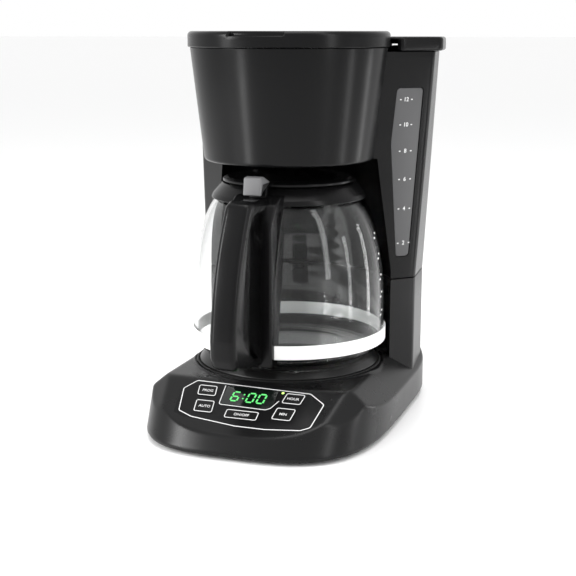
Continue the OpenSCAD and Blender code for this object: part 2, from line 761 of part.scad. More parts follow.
// ---------- carafe ----------
// Outline of the glass from its foot to its neck, inset by a wall
function glass_side(t) = [
    [60 / 78.7, 0], [70 / 78.7, 2], [75 / 78.7, 5.5], [77.6 / 78.7, 10], [1, 16],
    [1, glass_h * 0.36], [0.993, glass_h * 0.46], [0.973, glass_h * 0.58], [0.94, glass_h * 0.7],
    [0.9, glass_h * 0.8], [0.86, glass_h * 0.87], [0.8, glass_h * 0.94]];
// Point on the shoulder between the neck (0) and the belly (1), just clear of the glass
function shoulder(f) = (1 - f) * [neck_r + 1.5, glass_h * 0.985]
    + f * [0.8 * carafe_r, glass_h * 0.94] + [fit, fit];
module glass_body(t) {
    r = carafe_r - t;
    low = t > 0 ? t : 0;
    rotate_extrude($fn = 120) polygon(concat([[0, low]],
        [for (p = glass_side(t)) [r * p[0], max(p[1], low)]],
        [[neck_r + 1.5 - t, glass_h * 0.985], [neck_r - t, glass_h + (t > 0 ? 1 : 0)],
        [0, glass_h + (t > 0 ? 1 : 0)]]));
}
module in_carafe() { at_plate() translate([0, 0, carafe_z]) children(); }
module carafe_glass() {
    color([0.85, 0.9, 0.92, 0.35]) in_carafe() difference() {
        glass_body(0);
        glass_body(glass_t);
    }
}
collar_h = 9;
tongue_w = 14;
slot_w = tongue_w + 1;
module carafe_collar() {
    color(black) in_carafe() difference() {
        rotate_extrude($fn = 120) polygon([[neck_r + fit, glass_h], shoulder(0), shoulder(0.45),
            shoulder(0.45) + [1.2, 1], [neck_r + 4.6, glass_h], [neck_r - 1.4, glass_h + 6.5],
            [neck_r - 3, glass_h + collar_h - 1.2], [neck_r - 6, glass_h + collar_h - 1.2],
            [neck_r - 6, glass_h + 0.2], [neck_r + fit, glass_h + 0.2]]);
        handle_side(slot_w, [[lid_axis_r - 3.5, lid_axis_z - 4], [lid_axis_r + 20, lid_axis_z - 4],
            [lid_axis_r + 20, glass_h + 30], [lid_axis_r - 3.5, glass_h + 30]]);
    }
}
function curve(a, b, c, n = 10) = [for (i = [0 : n]) let (t = i / n)
    (1 - t) * (1 - t) * a + 2 * t * (1 - t) * b + t * t * c];
saddle_r = carafe_r + 4.6;
grip_r = saddle_r + finger_gap;
handle_top = glass_h + 4;
handle_low = 5;
band_z = 11;
module toward_handle() { rotate([0, 0, -handle_turn]) rotate([90, 0, -90]) children(); }
module handle_side(width, pts) {
    toward_handle() translate([0, 0, -width / 2]) linear_extrude(width) polygon(pts);
}
module carafe_handle() {
    top_front = [grip_r - 5, handle_top - 2];
    low_front = [grip_r + grip_d + 9, handle_low + 27];
    front_pull = [grip_r + grip_d + 3, handle_low + 86];
    top_rear = [saddle_r + 12, handle_top - 16];
    low_rear = [grip_r + 5, handle_low + 30];
    color(black) in_carafe() difference() {
        union() {
            handle_side(grip_w, concat([[neck_r + 7, handle_top - 14], [neck_r + 7, handle_top],
                [grip_r - 9, handle_top]], curve(top_front, front_pull, low_front),
                [[grip_r + grip_d + 5, handle_low + 13], [grip_r, handle_low + 6],
                [saddle_r - 8, handle_low], [saddle_r - 8, handle_low + 12],
                [grip_r - 8, handle_low + 17]],
                curve(low_rear, [grip_r + 2, handle_low + 84], top_rear)));
            handle_side(saddle_w, [[neck_r - 2, handle_top - 13], [neck_r - 2, handle_top + 2],
                [neck_r + 10, handle_top + 1], [saddle_r, handle_top - 18], [saddle_r, handle_low],
                [saddle_r - 14, handle_low], [saddle_r - 14, handle_top - 13]]);
        }
        glass_body(-fit);
        rotate_extrude($fn = 120) polygon([[0, glass_h - 20], [neck_r + 6 + fit, glass_h - 20],
            [neck_r + 5.4 + fit, glass_h], [neck_r - 0.6, glass_h + 6.8], [neck_r - 0.6, big],
            [0, big]]);
        handle_side(slot_w, [[neck_r - 4, lid_axis_z - 4], [neck_r + 13, lid_axis_z - 4],
            [neck_r + 13, handle_top + 9], [neck_r - 4, handle_top + 9]]);
        toward_handle() translate([lid_axis_r, lid_axis_z, -saddle_w / 2 + 2])
            cylinder(r = 1.3, h = saddle_w - 4);
        toward_handle() translate([saddle_r - 8, band_z + band_h / 2, 0]) rotate([0, 90, 0]) {
            cylinder(r = screw_r + 0.1, h = 60);
            translate([0, 0, 10]) cylinder(r = 3.4, h = 60);
        }
        rotate_extrude($fn = 120) polygon([[0, band_z - fit], [carafe_r + 1.5, band_z - fit],
            [carafe_r + 1.5, band_z + band_h + fit], [0, band_z + band_h + fit]]);
    }
}
module carafe_band() {
    color("silver") in_carafe() translate([0, 0, band_z]) difference() {
        linear_extrude(band_h) difference() {
            circle(r = carafe_r + 1.1, $fn = 120);
            circle(r = carafe_r + 0.1, $fn = 120);
        }
        toward_handle() translate([carafe_r - 6, band_h / 2, 0]) rotate([0, 90, 0])
            cylinder(r = screw_r + 0.2, h = 12);
    }
}
module band_screw() {
    color("silver") in_carafe() toward_handle()
        translate([saddle_r - 8 + 10 + 1.4, band_z + band_h / 2, 0]) rotate([0, -90, 0])
        screw(3, 6.4);
}
lid_axis_r = neck_r + 5;
lid_axis_z = glass_h + 1.5;
module lid_hinge_pin() {
    color("silver") in_carafe() toward_handle()
        translate([lid_axis_r, lid_axis_z, -saddle_w / 2 + 2.2])
        cylinder(r = 1.25, h = saddle_w - 4.4);
}
lid_low = glass_h + collar_h;
module carafe_lid() {
    color(black) in_carafe() difference() {
        union() {
            rotate_extrude($fn = 120) polygon([[0, lid_low - 8], [neck_r - 8, lid_low - 8],
                [neck_r - 8, lid_low], [lid_r, lid_low], [lid_r, lid_low + 2.4],
                [lid_r - 5, lid_low + 3.4], [lid_r - 9, lid_low + 3.4],
                [20, lid_low + 8.9], [0, lid_low + 8.9]]);
            handle_side(tongue_w, [[lid_r - 8, lid_low + 0.2], [lid_r - 8, lid_low + 3],
                [lid_axis_r + 2, lid_low + 3], [lid_axis_r + 3.6, lid_axis_z],
                [lid_axis_r + 2, lid_axis_z - 3], [lid_axis_r - 2, lid_axis_z - 3],
                [lid_axis_r - 2.5, lid_low + 0.2]]);
        }
        rotate_extrude($fn = 96) polygon([[11, lid_low - 9], [neck_r - 10.2, lid_low - 9],
            [neck_r - 10.2, lid_low + 1], [20, lid_low + 6.9], [11, lid_low + 6.9]]);
        for (i = [0 : 7]) rotate([0, 0, i * 45]) translate([5.5, 0, lid_low - 9])
            cylinder(r = 1.5, h = 30, $fn = 24);
        toward_handle() translate([lid_axis_r, lid_axis_z, -12])
            cylinder(r = 1.25 + pin_play, h = 24);
    }
}
module thumb_lever() {
    color([0.3, 0.3, 0.31]) in_carafe() handle_side(14.5, [[lid_axis_r + 3.2, lid_low + 3.1],
        [lid_axis_r - 4, lid_low + 3.1], [lid_axis_r - 4, lid_low + 5], [lid_axis_r + 8, lid_low + 10],
        [lid_axis_r + 13, lid_low + 9.4], [lid_axis_r + 15, lid_low - 4.2],
        [lid_axis_r + 11.5, lid_low - 4.2], [lid_axis_r + 9.5, lid_low + 3]]);
}

// ---------- controls and electronics ----------
display_w = 42;
display_h = 19;
keys = [[-34.5, 9, 16, 11.5], [-31.5, -7.5, 16, 13], [0, -12.5, 27, 9.5], [34.5, 9, 16, 11.5],
    [31.5, -7.5, 16, 13]];
module key_shape(k, grow) {
    w = keys[k][2] / 2 + grow;
    h = keys[k][3] / 2 + grow;
    lean = keys[k][0] * 0.047;
    translate([keys[k][0], keys[k][1]]) polygon([[-w, -h], [w, -h], [w + lean, h], [-w + lean, h]]);
}
module display_shape(grow) {
    translate([-display_w / 2 - grow, 6.6 - display_h / 2 - grow])
        square([display_w + 2 * grow, display_h + 2 * grow]);
}
module control_panel() {
    color(dark) at_plate() on_panel() difference() {
        translate([0, 0, -panel_t]) linear_extrude(panel_t) panel_shape(-fit / 2);
        for (k = [0 : 4]) translate([0, 0, -2]) linear_extrude(4) key_shape(k, key_gap);
        translate([0, 0, -2]) linear_extrude(4) display_shape(0.1);
        translate([25, 14.6, -2]) cylinder(r = 1.4, h = 4);
    }
}
module display_lens() {
    color([0.2, 0.3, 0.2]) at_plate() on_panel() translate([0, 0, -panel_t])
        linear_extrude(panel_t + 0.1) display_shape(0);
}
board_drop = 8;
board_t = 1.4;
switch_h = 2.6;
switch_rise = board_t + switch_h - board_drop;
module display_module() {
    color("darkgreen") at_plate() on_panel() translate([-18, -0.9, board_t - board_drop])
        cube([36, 15, board_drop - 3]);
}
module main_board() {
    color("green") at_plate() on_panel() difference() {
        translate([-54, -19.5, -board_drop]) cube([108, 37, board_t - slack]);
        for (p = post_spots) translate([p[0], p[1], -board_drop - 1])
            cylinder(r = post_r + 0.1, h = 4);
    }
}
module tact_switches() {
    color("silver") at_plate() on_panel() for (k = keys) {
        translate([k[0] - 3, k[1] - 3, board_t - board_drop]) cube([6, 6, switch_h]);
        translate([k[0], k[1], switch_rise - slack]) cylinder(r = 1.4,
            h = -switch_rise - key_low - key_travel);
    }
}
module indicator_led() {
    color([0.7, 0.9, 0.3]) at_plate() on_panel() translate([25, 14.6, board_t - board_drop]) {
        cylinder(r = 1.3, h = board_drop - board_t - 0.2);
        cylinder(r = 1.9, h = 3);
    }
}
key_rise = 0.9;
flange_t = 0.8;
key_low = panel_t + 0.1 + flange_t;
// Key cap with a flange that catches under the panel
module key(k) {
    color(dark) at_plate() on_panel() {
        translate([0, 0, -key_low + flange_t - slack]) linear_extrude(panel_t + 0.1 + key_rise)
            key_shape(k, 0);
        translate([0, 0, -key_low]) linear_extrude(flange_t) key_shape(k, 0.9);
    }
}
module button_prog() { key(0); }
module button_auto() { key(1); }
module button_on_off() { key(2); }
module button_hour() { key(3); }
module button_min() { key(4); }
module power_board() {
    color("green") at_plate() translate([-84, -46, foot_h + wall + 3]) {
        cube([42, 60, 1.6]);
        translate([6, 8, 1.6 - slack]) cube([19, 15, 12]);
        translate([8, 34, 1.6 - slack]) cube([26, 14, 10]);
        for (p = [[2, 2], [36, 2], [2, 54], [36, 54]]) translate([p[0], p[1], -2.9])
            cube([4, 4, 3]);
    }
}
module wire_leg(a, b, r = 1.1) {
    hull() for (p = [a, b]) translate(p) sphere(r = r, $fn = 10);
}
module wiring() {
    color("white") at_plate() {
        wire_leg([-46, 2, 11.5], [-34, 4, 26]);
        wire_leg([-34, 4, 26], [-5.6, 0, heater_z - 17]);
        wire_leg([-50, -38, 11.5], [-40, -74, 17]);
        wire_leg([-40, -74, 17], [-30, -92, 27.5]);
        wire_leg([-46, 11, 11.5], [-50, 100, 20]);
        wire_leg([-50, 100, 20], [-3, 111.5, cord_z]);
    }
}

base_housing();
bottom_cover();
feet();
bottom_screws();
warming_plate();
plate_seal();
heater_element();
heater_bracket();
thermostat();
thermal_fuses();
inlet_hose();
outlet_hose();
hose_clamps();
check_valve_body();
check_ball();
riser_tube();
tower_housing();
rear_cover();
rear_screws();
water_tank();
tank_grommet();
level_window();
brew_head();
head_screws();
riser_spout();
control_panel();
display_lens();
display_module();
main_board();
power_board();
indicator_led();
tact_switches();
cord_gland();
wiring();
cover();
water_channel();
shower_head();
cover_screws();
hinge_pins();
brew_basket();
basket_bail();
valve_retainer();
drip_valve();
valve_seal();
valve_spring();
carafe_glass();
carafe_collar();
carafe_handle();
carafe_band();
band_screw();
lid_hinge_pin();
carafe_lid();
thumb_lever();
button_prog();
button_auto();
button_on_off();
button_hour();
button_min();
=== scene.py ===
"""Visual model of a twelve-cup drip coffee maker, built around its CAD frame.

Lengths in this script are millimetres in the plate's own coordinates: x to the right, -y to the
front, z up from the worktop, with the axis of the warming plate at x = 0, y = 0.
"""
import json
import math

import bmesh
import bpy
import numpy as np
from mathutils import Matrix, Vector


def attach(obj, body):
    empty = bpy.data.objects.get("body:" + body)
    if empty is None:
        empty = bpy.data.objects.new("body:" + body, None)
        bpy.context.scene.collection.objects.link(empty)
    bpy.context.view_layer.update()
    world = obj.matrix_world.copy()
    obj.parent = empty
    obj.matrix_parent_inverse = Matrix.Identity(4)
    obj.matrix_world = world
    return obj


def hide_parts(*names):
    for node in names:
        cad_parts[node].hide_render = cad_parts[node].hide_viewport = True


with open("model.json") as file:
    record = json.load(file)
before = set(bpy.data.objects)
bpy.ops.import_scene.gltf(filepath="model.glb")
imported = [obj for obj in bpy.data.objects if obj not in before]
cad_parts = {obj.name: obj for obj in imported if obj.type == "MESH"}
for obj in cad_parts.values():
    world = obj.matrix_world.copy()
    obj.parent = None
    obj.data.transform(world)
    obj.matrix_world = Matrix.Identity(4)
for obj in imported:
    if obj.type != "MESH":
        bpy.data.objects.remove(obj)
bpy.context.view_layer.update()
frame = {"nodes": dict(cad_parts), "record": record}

MM = 0.001
PLATE_Y = 5.7
SCENE = bpy.context.scene
NODES = frame["nodes"]

# ------------------------------------------------------------------ sizes
BASE_HALF = 97.0
FRONT_REACH = 137.0
REAR_REACH = 121.0
REAR_BULGE = 2.0
FRONT_POWER, REAR_POWER = 3.2, 6.0
SKIRT_LEAN = 25.0
FOOT_Z = 3.0
RIM_Z = 6.2
DECK_Z = 45.0
DECK_FRONT = 80.0
PANEL_ANGLE = math.radians(28.8)
PANEL_K = math.tan(PANEL_ANGLE)
SIDE_K = math.tan(math.radians(40.4))
SEAM_Z = 110.0
HEAD_Z = 211.0
RIM_TOP = 299.5
TOP_Z = 312.0
TOWER_TOP = 295.9
WALL = 2.6
RECESS_HALF = 66.8
RECESS_Y = 119.5
RECESS_LOW, RECESS_HIGH = 9.3, 280.2
BAY_R = 84.7
CARAFE_Z = 53.3
GLASS_R = 78.7
GLASS_T = 2.5
HANDLE_TURN = math.radians(3.0)
SADDLE_R = 83.3
FACET = math.radians(44.0)
TOWER_WIDTHS = (189.0, 209.4)
TOWER_CORNERS = (49.0, 61.4)
HEAD_RADII = (68, 78.4)
DISC_R = 80.2
HINGE_Y, HINGE_Z = 121.6, 296.05
HINGE_R = 4
LAMP_X, LAMP_Y = 25, 14.6


# ------------------------------------------------------------------ mesh helpers
def grid(rings, wrap=True, caps=(False, False)):
    """Closed or open sheet through rings of equal length; caps closes its first and last ring."""
    rings = np.asarray(rings, float)
    m, n = rings.shape[:2]
    faces = []
    last = n if wrap else n - 1
    for i in range(m - 1):
        for j in range(last):
            k = (j + 1) % n
            faces.append((i * n + j, i * n + k, (i + 1) * n + k, (i + 1) * n + j))
    if caps[0]:
        faces.append(tuple(range(n))[::-1])
    if caps[1]:
        faces.append(tuple((m - 1) * n + j for j in range(n)))
    return rings.reshape(-1, 3), faces


def arc(a, p, b, radius, n=6):
    """Points of the arc that rounds corner p between a and b."""
    a, p, b = (np.asarray(q, float) for q in (a, p, b))
    u, v = a - p, b - p
    lu, lv = np.linalg.norm(u), np.linalg.norm(v)
    u, v = u / lu, v / lv
    half = math.acos(max(-1, min(1, float(u @ v)))) / 2
    if radius <= 0 or half > math.radians(88):
        return [p]
    d = min(radius / math.tan(half), 0.49 * lu, 0.49 * lv)
    radius = d * math.tan(half)
    c = p + (u + v) / np.linalg.norm(u + v) * radius / math.sin(half)
    s, e = p + u * d - c, p + v * d - c
    turn = math.pi - 2 * half
    if s[0] * e[1] - s[1] * e[0] < 0:
        turn = -turn
    out = []
    for i in range(n + 1):
        w = turn * i / n
        cw, sw = math.cos(w), math.sin(w)
        out.append(c + [s[0] * cw - s[1] * sw, s[0] * sw + s[1] * cw])
    return out


def rounded(points, radii, n=6, closed=True):
    """Polyline with each corner rounded by its radius."""
    k = len(points)
    if not hasattr(radii, "__len__"):
        radii = [radii] * k
    out = []
    for i in range(k):
        if not closed and i in (0, k - 1):
            out.append(np.asarray(points[i], float))
        else:
            out += arc(points[i - 1], points[i], points[(i + 1) % k], radii[i], n)
    return np.array(out)


def resample(points, n, closed=True):
    """n points evenly along a polyline."""
    p = np.asarray(points, float)
    if closed:
        p = np.vstack([p, p[:1]])
    d = np.concatenate([[0], np.cumsum(np.linalg.norm(np.diff(p, axis=0), axis=1))])
    at = np.linspace(0, d[-1], n + 1)[:-1] if closed else np.linspace(0, d[-1], n)
    return np.stack([np.interp(at, d, p[:, k]) for k in range(p.shape[1])], axis=1)


def lathe(profile, n=160, closed=True):
    """Solid of revolution round the plate's axis from (radius, z) points."""
    t = np.linspace(0, 2 * math.pi, n, endpoint=False)
    rings = [np.stack([r * np.cos(t), r * np.sin(t), np.full(n, z)], axis=1) for r, z in profile]
    if closed:
        rings.append(rings[0])
        v, f = grid(rings)
        m = (len(rings) - 1) * n
        return v[:m], [tuple(i % m for i in face) for face in f]
    return grid(rings, caps=(True, True))


def prism(outline, low, high, bevel=0.6, steps=3):
    """Upright slab over a plan outline, with rounded top and bottom edges."""
    o = np.asarray(outline, float)
    rings = []
    for i in range(steps + 1):
        w = math.pi / 2 * i / steps
        rings.append((inset(o, bevel * (1 - math.sin(w))), low + bevel * (1 - math.cos(w))))
    for i in range(steps + 1):
        w = math.pi / 2 * i / steps
        rings.append((inset(o, bevel * (1 - math.cos(w))), high - bevel * (1 - math.sin(w))))
    r3 = [np.column_stack([p, np.full(len(p), z)]) for p, z in rings]
    return grid(r3, caps=(True, True))


def inset(outline, d):
    """Closed outline moved inward by d along its corner normals (outlines run anticlockwise)."""
    if d == 0:
        return outline
    a = outline - np.roll(outline, 1, axis=0)
    b = np.roll(outline, -1, axis=0) - outline
    na = np.stack([-a[:, 1], a[:, 0]], axis=1)
    nb = np.stack([-b[:, 1], b[:, 0]], axis=1)
    na /= np.maximum(np.linalg.norm(na, axis=1, keepdims=True), 1e-9)
    nb /= np.maximum(np.linalg.norm(nb, axis=1, keepdims=True), 1e-9)
    n = na + nb
    n /= np.maximum(np.linalg.norm(n, axis=1, keepdims=True), 1e-9)
    scale = np.minimum(1.6, 1 / np.maximum((n * na).sum(1, keepdims=True), 0.4))
    return outline + n * d * scale


def area2(p):
    """Twice the signed area of a closed outline."""
    return float(np.sum(p[:, 0] * np.roll(p[:, 1], -1) - np.roll(p[:, 0], -1) * p[:, 1]))


def anticlockwise(p):
    p = np.asarray(p, float)
    return p if area2(p) > 0 else p[::-1]


def moved(part, matrix):
    """Mesh part with its points carried through a 4 x 4 matrix."""
    v, f = part
    m = np.array(matrix)
    return v @ m[:3, :3].T + m[:3, 3], f


def make(name, parts, material, smooth=32, bevel=0.0, weld=True):
    """Mesh object from (vertices, faces) parts, shaded smooth with sharp edges over an angle."""
    if isinstance(parts, tuple):
        parts = [parts]
    bm = bmesh.new()
    for v, f in parts:
        vs = [bm.verts.new((x * MM, (y + PLATE_Y) * MM, z * MM)) for x, y, z in v]
        for face in f:
            ring = []
            for i in face:
                if not ring or vs[i] is not ring[-1]:
                    ring.append(vs[i])
            if len(ring) > 2:
                try:
                    bm.faces.new(ring)
                except ValueError:
                    pass
    if weld:
        bmesh.ops.remove_doubles(bm, verts=bm.verts, dist=1e-6)
    bmesh.ops.dissolve_degenerate(bm, edges=bm.edges, dist=1e-7)
    bmesh.ops.recalc_face_normals(bm, faces=bm.faces)
    me = bpy.data.meshes.new(name)
    bm.to_mesh(me)
    bm.free()
    ob = bpy.data.objects.new(name, me)
    SCENE.collection.objects.link(ob)
    if material is not None:
        me.materials.append(material)
    shade(ob, smooth)
    if bevel:
        add_bevel(ob, bevel)
    return ob


def shade(ob, angle=32):
    """Smooth shading, with edges sharper than angle (degrees) kept sharp."""
    me = ob.data
    limit = math.radians(angle)
    bm = bmesh.new()
    bm.from_mesh(me)
    for f in bm.faces:
        f.smooth = True
    for e in bm.edges:
        e.smooth = not (len(e.link_faces) == 2 and e.calc_face_angle(0) > limit)
    bm.to_mesh(me)
    bm.free()


def add_bevel(ob, width, segments=2, angle=35):
    m = ob.modifiers.new("edges", "BEVEL")
    m.width = width * MM
    m.segments = segments
    m.limit_method = "ANGLE"
    m.angle_limit = math.radians(angle)
    m.harden_normals = True


def boolean(ob, cutter, how="DIFFERENCE"):
    """Applies a boolean at once and removes the second object."""
    m = ob.modifiers.new("cut", "BOOLEAN")
    m.object = cutter
    m.operation = how
    m.solver = "EXACT"
    deps = bpy.context.evaluated_depsgraph_get()
    me = bpy.data.meshes.new_from_object(ob.evaluated_get(deps))
    ob.modifiers.clear()
    old = ob.data
    ob.data = me
    bpy.data.meshes.remove(old)
    bpy.data.objects.remove(cutter)


def settle(ob, body, slot, *nodes):
    """Gives an object its body and hides the CAD nodes it stands in for; slot is not used."""
    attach(ob, body)
    if nodes:
        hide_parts(*nodes)
    return ob


# ------------------------------------------------------------------ materials
def material(name, color, rough=0.4, metal=0.0, spec=0.5, coat=0.0, coat_rough=0.1,
             bump=0.0, grain=900.0, vary=0.05, transmission=0.0, ior=1.45, emit=None,
             brush=None):
    """Principled material whose roughness wanders a little and whose surface has a fine grain."""
    m = bpy.data.materials.new(name)
    m.use_nodes = True
    t = m.node_tree
    n, links = t.nodes, t.links
    b = n["Principled BSDF"]
    b.inputs["Base Color"].default_value = (*color, 1)
    b.inputs["Metallic"].default_value = metal
    b.inputs["IOR"].default_value = ior
    b.inputs["Specular IOR Level"].default_value = spec
    b.inputs["Coat Weight"].default_value = coat
    b.inputs["Coat Roughness"].default_value = coat_rough
    b.inputs["Transmission Weight"].default_value = transmission
    b.inputs["Roughness"].default_value = rough
    if emit:
        b.inputs["Emission Color"].default_value = (*emit[0], 1)
        b.inputs["Emission Strength"].default_value = emit[1]
    coords = n.new("ShaderNodeTexCoord")
    if vary:
        cloud = n.new("ShaderNodeTexNoise")
        cloud.inputs["Scale"].default_value = 38.0
        cloud.inputs["Detail"].default_value = 4.0
        span = n.new("ShaderNodeMapRange")
        span.inputs["To Min"].default_value = max(0.0, rough - vary)
        span.inputs["To Max"].default_value = min(1.0, rough + vary)
        links.new(coords.outputs["Object"], cloud.inputs["Vector"])
        links.new(cloud.outputs["Fac"], span.inputs["Value"])
        links.new(span.outputs["Result"], b.inputs["Roughness"])
    if bump:
        fine = n.new("ShaderNodeTexNoise")
        fine.inputs["Scale"].default_value = grain
        fine.inputs["Detail"].default_value = 3.0
        relief = n.new("ShaderNodeBump")
        relief.inputs["Strength"].default_value = bump
        relief.inputs["Distance"].default_value = 0.0002
        if brush:
            stretch = n.new("ShaderNodeMapping")
            stretch.inputs["Scale"].default_value = brush
            links.new(coords.outputs["Object"], stretch.inputs["Vector"])
            links.new(stretch.outputs["Vector"], fine.inputs["Vector"])
        else:
            links.new(coords.outputs["Object"], fine.inputs["Vector"])
        links.new(fine.outputs["Fac"], relief.inputs["Height"])
        links.new(relief.outputs["Normal"], b.inputs["Normal"])
    return m


# The low indices of refraction are fitted to the darkness of the photo, not real values.
M = {
    "housing_black": material("housing_black", (0.0035, 0.0035, 0.0037), 0.24, ior=1.24, bump=0.05,
                              vary=0.03),
    "base_black": material("base_black", (0.005, 0.005, 0.0052), 0.28, ior=1.29, bump=0.06, vary=0.03),
    "dark_plastic": material("dark_plastic", (0.006, 0.006, 0.006), 0.5, spec=0.3, bump=0.25, vary=0.06),
    "panel_plastic": material("panel_plastic", (0.004, 0.004, 0.0043), 0.34, ior=1.24, bump=0.05, vary=0.03),
    "key_plastic": material("key_plastic", (0.005, 0.005, 0.005), 0.4, ior=1.24, bump=0.08),
    "lever_grey": material("lever_grey", (0.13, 0.13, 0.133), 0.36, bump=0.06),
    "rubber_black": material("rubber_black", (0.01, 0.01, 0.01), 0.62, spec=0.3, bump=0.3, grain=1500),
    "plate_enamel": material("plate_enamel", (0.004, 0.004, 0.004), 0.3, spec=0.3, bump=0.2, grain=2400),
    "aluminium_bare": material("aluminium_bare", (0.72, 0.72, 0.73), 0.35, metal=1, bump=0.3,
                               brush=(1, 1, 0.05)),
    "steel": material("steel", (0.6, 0.6, 0.61), 0.28, metal=1, bump=0.15, brush=(1, 0.1, 1)),
    "band_steel": material("band_steel", (0.93, 0.93, 0.92), 0.42, metal=0.3, bump=0.12, vary=0.04,
                           brush=(0.05, 0.05, 1)),
    "white_plastic": material("white_plastic", (0.78, 0.78, 0.75), 0.45, bump=0.15),
    "silicone_hose": material("silicone_hose", (0.72, 0.72, 0.68), 0.5, bump=0.15),
    "tank_plastic": material("tank_plastic", (0.05, 0.05, 0.052), 0.35, bump=0.1),
    "window_clear": material("window_clear", (0.062, 0.062, 0.064), 0.42, bump=0.1),
    "lens_tint": material("lens_tint", (0.004, 0.006, 0.005), 0.12, coat=0.4),
    "glass_clear": material("glass_clear", (0.985, 0.992, 0.99), 0.0, transmission=1.0, ior=1.26,
                            vary=0.0),
    "circuit_board": material("circuit_board", (0.01, 0.09, 0.03), 0.4, bump=0.4, grain=350),
    "component_dark": material("component_dark", (0.02, 0.02, 0.02), 0.45, bump=0.2),
    "fuse_ceramic": material("fuse_ceramic", (0.62, 0.52, 0.38), 0.6, bump=0.3),
    "led_green": material("led_green", (0.45, 0.7, 0.15), 0.2, emit=((0.5, 1.0, 0.15), 2.2)),
    "wire_white": material("wire_white", (0.75, 0.75, 0.72), 0.45, bump=0.1),
}
PRINT = material("print_white", (0.72, 0.72, 0.72), 0.5, vary=0.0)
DIGITS = material("digits_green", (0.08, 0.4, 0.1), 0.4, vary=0.0, emit=((0.12, 0.75, 0.2), 0.75))

for entry in frame["record"]["subparts"]:
    node = NODES[entry["node"]]
    node.data.materials.clear()
    node.data.materials.append(M[entry["material_slot"]])
    add_bevel(node, 0.25, 2, 40)


# ------------------------------------------------------------------ base
def foot_outline(t, reach):
    """Plan position of the foot at outline parameter t, squarer at the back than at the front."""
    c, s = np.cos(t), np.sin(t)
    n = np.where(s < 0, FRONT_POWER, REAR_POWER)
    x = BASE_HALF * np.sign(c) * np.abs(c) ** (2 / n)
    b = np.where(s < 0, reach, REAR_REACH + REAR_BULGE)
    y = np.minimum(REAR_REACH, b * np.sign(s) * np.abs(s) ** (2 / n))
    return x, y


def wall_at(t, z):
    """Plan position of the base's side wall at height z, for outline parameter t."""
    f = np.clip((z - RIM_Z) / (DECK_Z - RIM_Z), 0, 1)
    x, y = foot_outline(t, FRONT_REACH - SKIRT_LEAN * f)
    behind_cover = (np.abs(x) < RECESS_HALF) & (y > RECESS_Y) & (z > RECESS_LOW)
    return x, np.where(behind_cover, RECESS_Y, y)


def top_height(x, y, soft=0.8):
    """Height of the base's upper surfaces: deck, panel slope, side slopes and shoulders."""
    ax = np.abs(x)
    nx, ny, nz = 0.5192, -0.4979, 0.6947
    planes = np.stack([
        np.full_like(x, DECK_Z),
        DECK_Z + PANEL_K * (y + DECK_FRONT),
        44.5 - SIDE_K * (ax - 77),
        44 - ((ax - 76) * nx + (y + 78) * ny) / nz])
    low = planes.min(axis=0)
    blend = -soft * np.log(np.exp(-(planes - low) / soft).sum(axis=0))
    h = low + blend
    r = np.hypot(x, y)
    bead = 0.9 * np.exp(-((r - 78.6) / 1.0) ** 2)
    return h + bead


def base_shell(n=720):
    """Skin of the base: rings from the deck's middle out over the edge, down and under the foot."""
    t = (np.arange(n) + 0.5) * 2 * math.pi / n
    lo, hi = np.full(n, RIM_Z), np.full(n, DECK_Z + 2)
    for _ in range(40):
        mid = (lo + hi) / 2
        x, y = wall_at(t, mid)
        above = top_height(x, y) > mid
        lo, hi = np.where(above, mid, lo), np.where(above, hi, mid)
    zc = (lo + hi) / 2
    xc, yc = wall_at(t, zc)
    rc = np.hypot(xc, yc)
    ux, uy = xc / rc, yc / rc
    rings = []
    inner = [20, 60, 64, 68, 72, 74, 75, 76, 76.6, 77.2, 77.8, 78.3, 78.8, 79.3, 79.9, 80.6, 81.4]
    for r in inner:
        x, y = ux * r, uy * r
        rings.append(np.stack([x, y, top_height(x, y)], axis=1))
    fillet = 1.9
    edge = rc - fillet
    for f in np.linspace(0, 1, 40)[1:]:
        r = inner[-1] + (edge - inner[-1]) * f
        x, y = ux * r, uy * r
        rings.append(np.stack([x, y, top_height(x, y)], axis=1))
    a = rings[-1]
    corner = np.stack([xc, yc, zc], axis=1)
    zb = np.maximum(zc - fillet, RIM_Z + 0.2)
    xb, yb = wall_at(t, zb)
    b = np.stack([xb, yb, zb], axis=1)
    for f in np.linspace(0, 1, 8)[1:]:
        rings.append((1 - f) ** 2 * a + 2 * f * (1 - f) * corner + f * f * b)
    for f in np.linspace(0, 1, 10)[1:]:
        z = zb + (RIM_Z - zb) * f
        x, y = wall_at(t, z)
        rings.append(np.stack([x, y, z], axis=1))
    x, y = foot_outline(t, FRONT_REACH)
    for d, z in ((0.0, 5.2), (0.7, 4.9), (0.9, 4.6), (0.9, 3.5), (1.3, FOOT_Z), (WALL + 0.6, FOOT_Z),
                 (WALL + 0.6, FOOT_Z + 2.5), (30, FOOT_Z + 2.6)):
        k = 1 - d / np.hypot(x, y)
        rings.append(np.stack([x * k, y * k, np.full(n, z)], axis=1))
    return grid(rings)


# ------------------------------------------------------------------ tower
def mix(a, b, f):
    return a + (b - a) * f


def tower_size(z):
    """Width of the tower and distance back of its front corners, at height z."""
    f = max((z - SEAM_Z) / (TOWER_TOP - SEAM_Z), 0.0)
    return mix(*TOWER_WIDTHS, f), mix(*TOWER_CORNERS, f)


def head_r(z):
    """Outer radius of the brew head at height z."""
    low, high = HEAD_RADII
    return low + (high - low) * (z - HEAD_Z) / (RIM_TOP - HEAD_Z)


def inner_radius(z, upper):
    """Radius of the tower's hollow: round the brew head when upper, round the carafe below it."""
    if upper:
        return head_r(z) + 0.3
    return BAY_R if z <= SEAM_Z + 8 else mix(BAY_R, 71.4, (z - SEAM_Z - 8) / (HEAD_Z - SEAM_Z - 8))


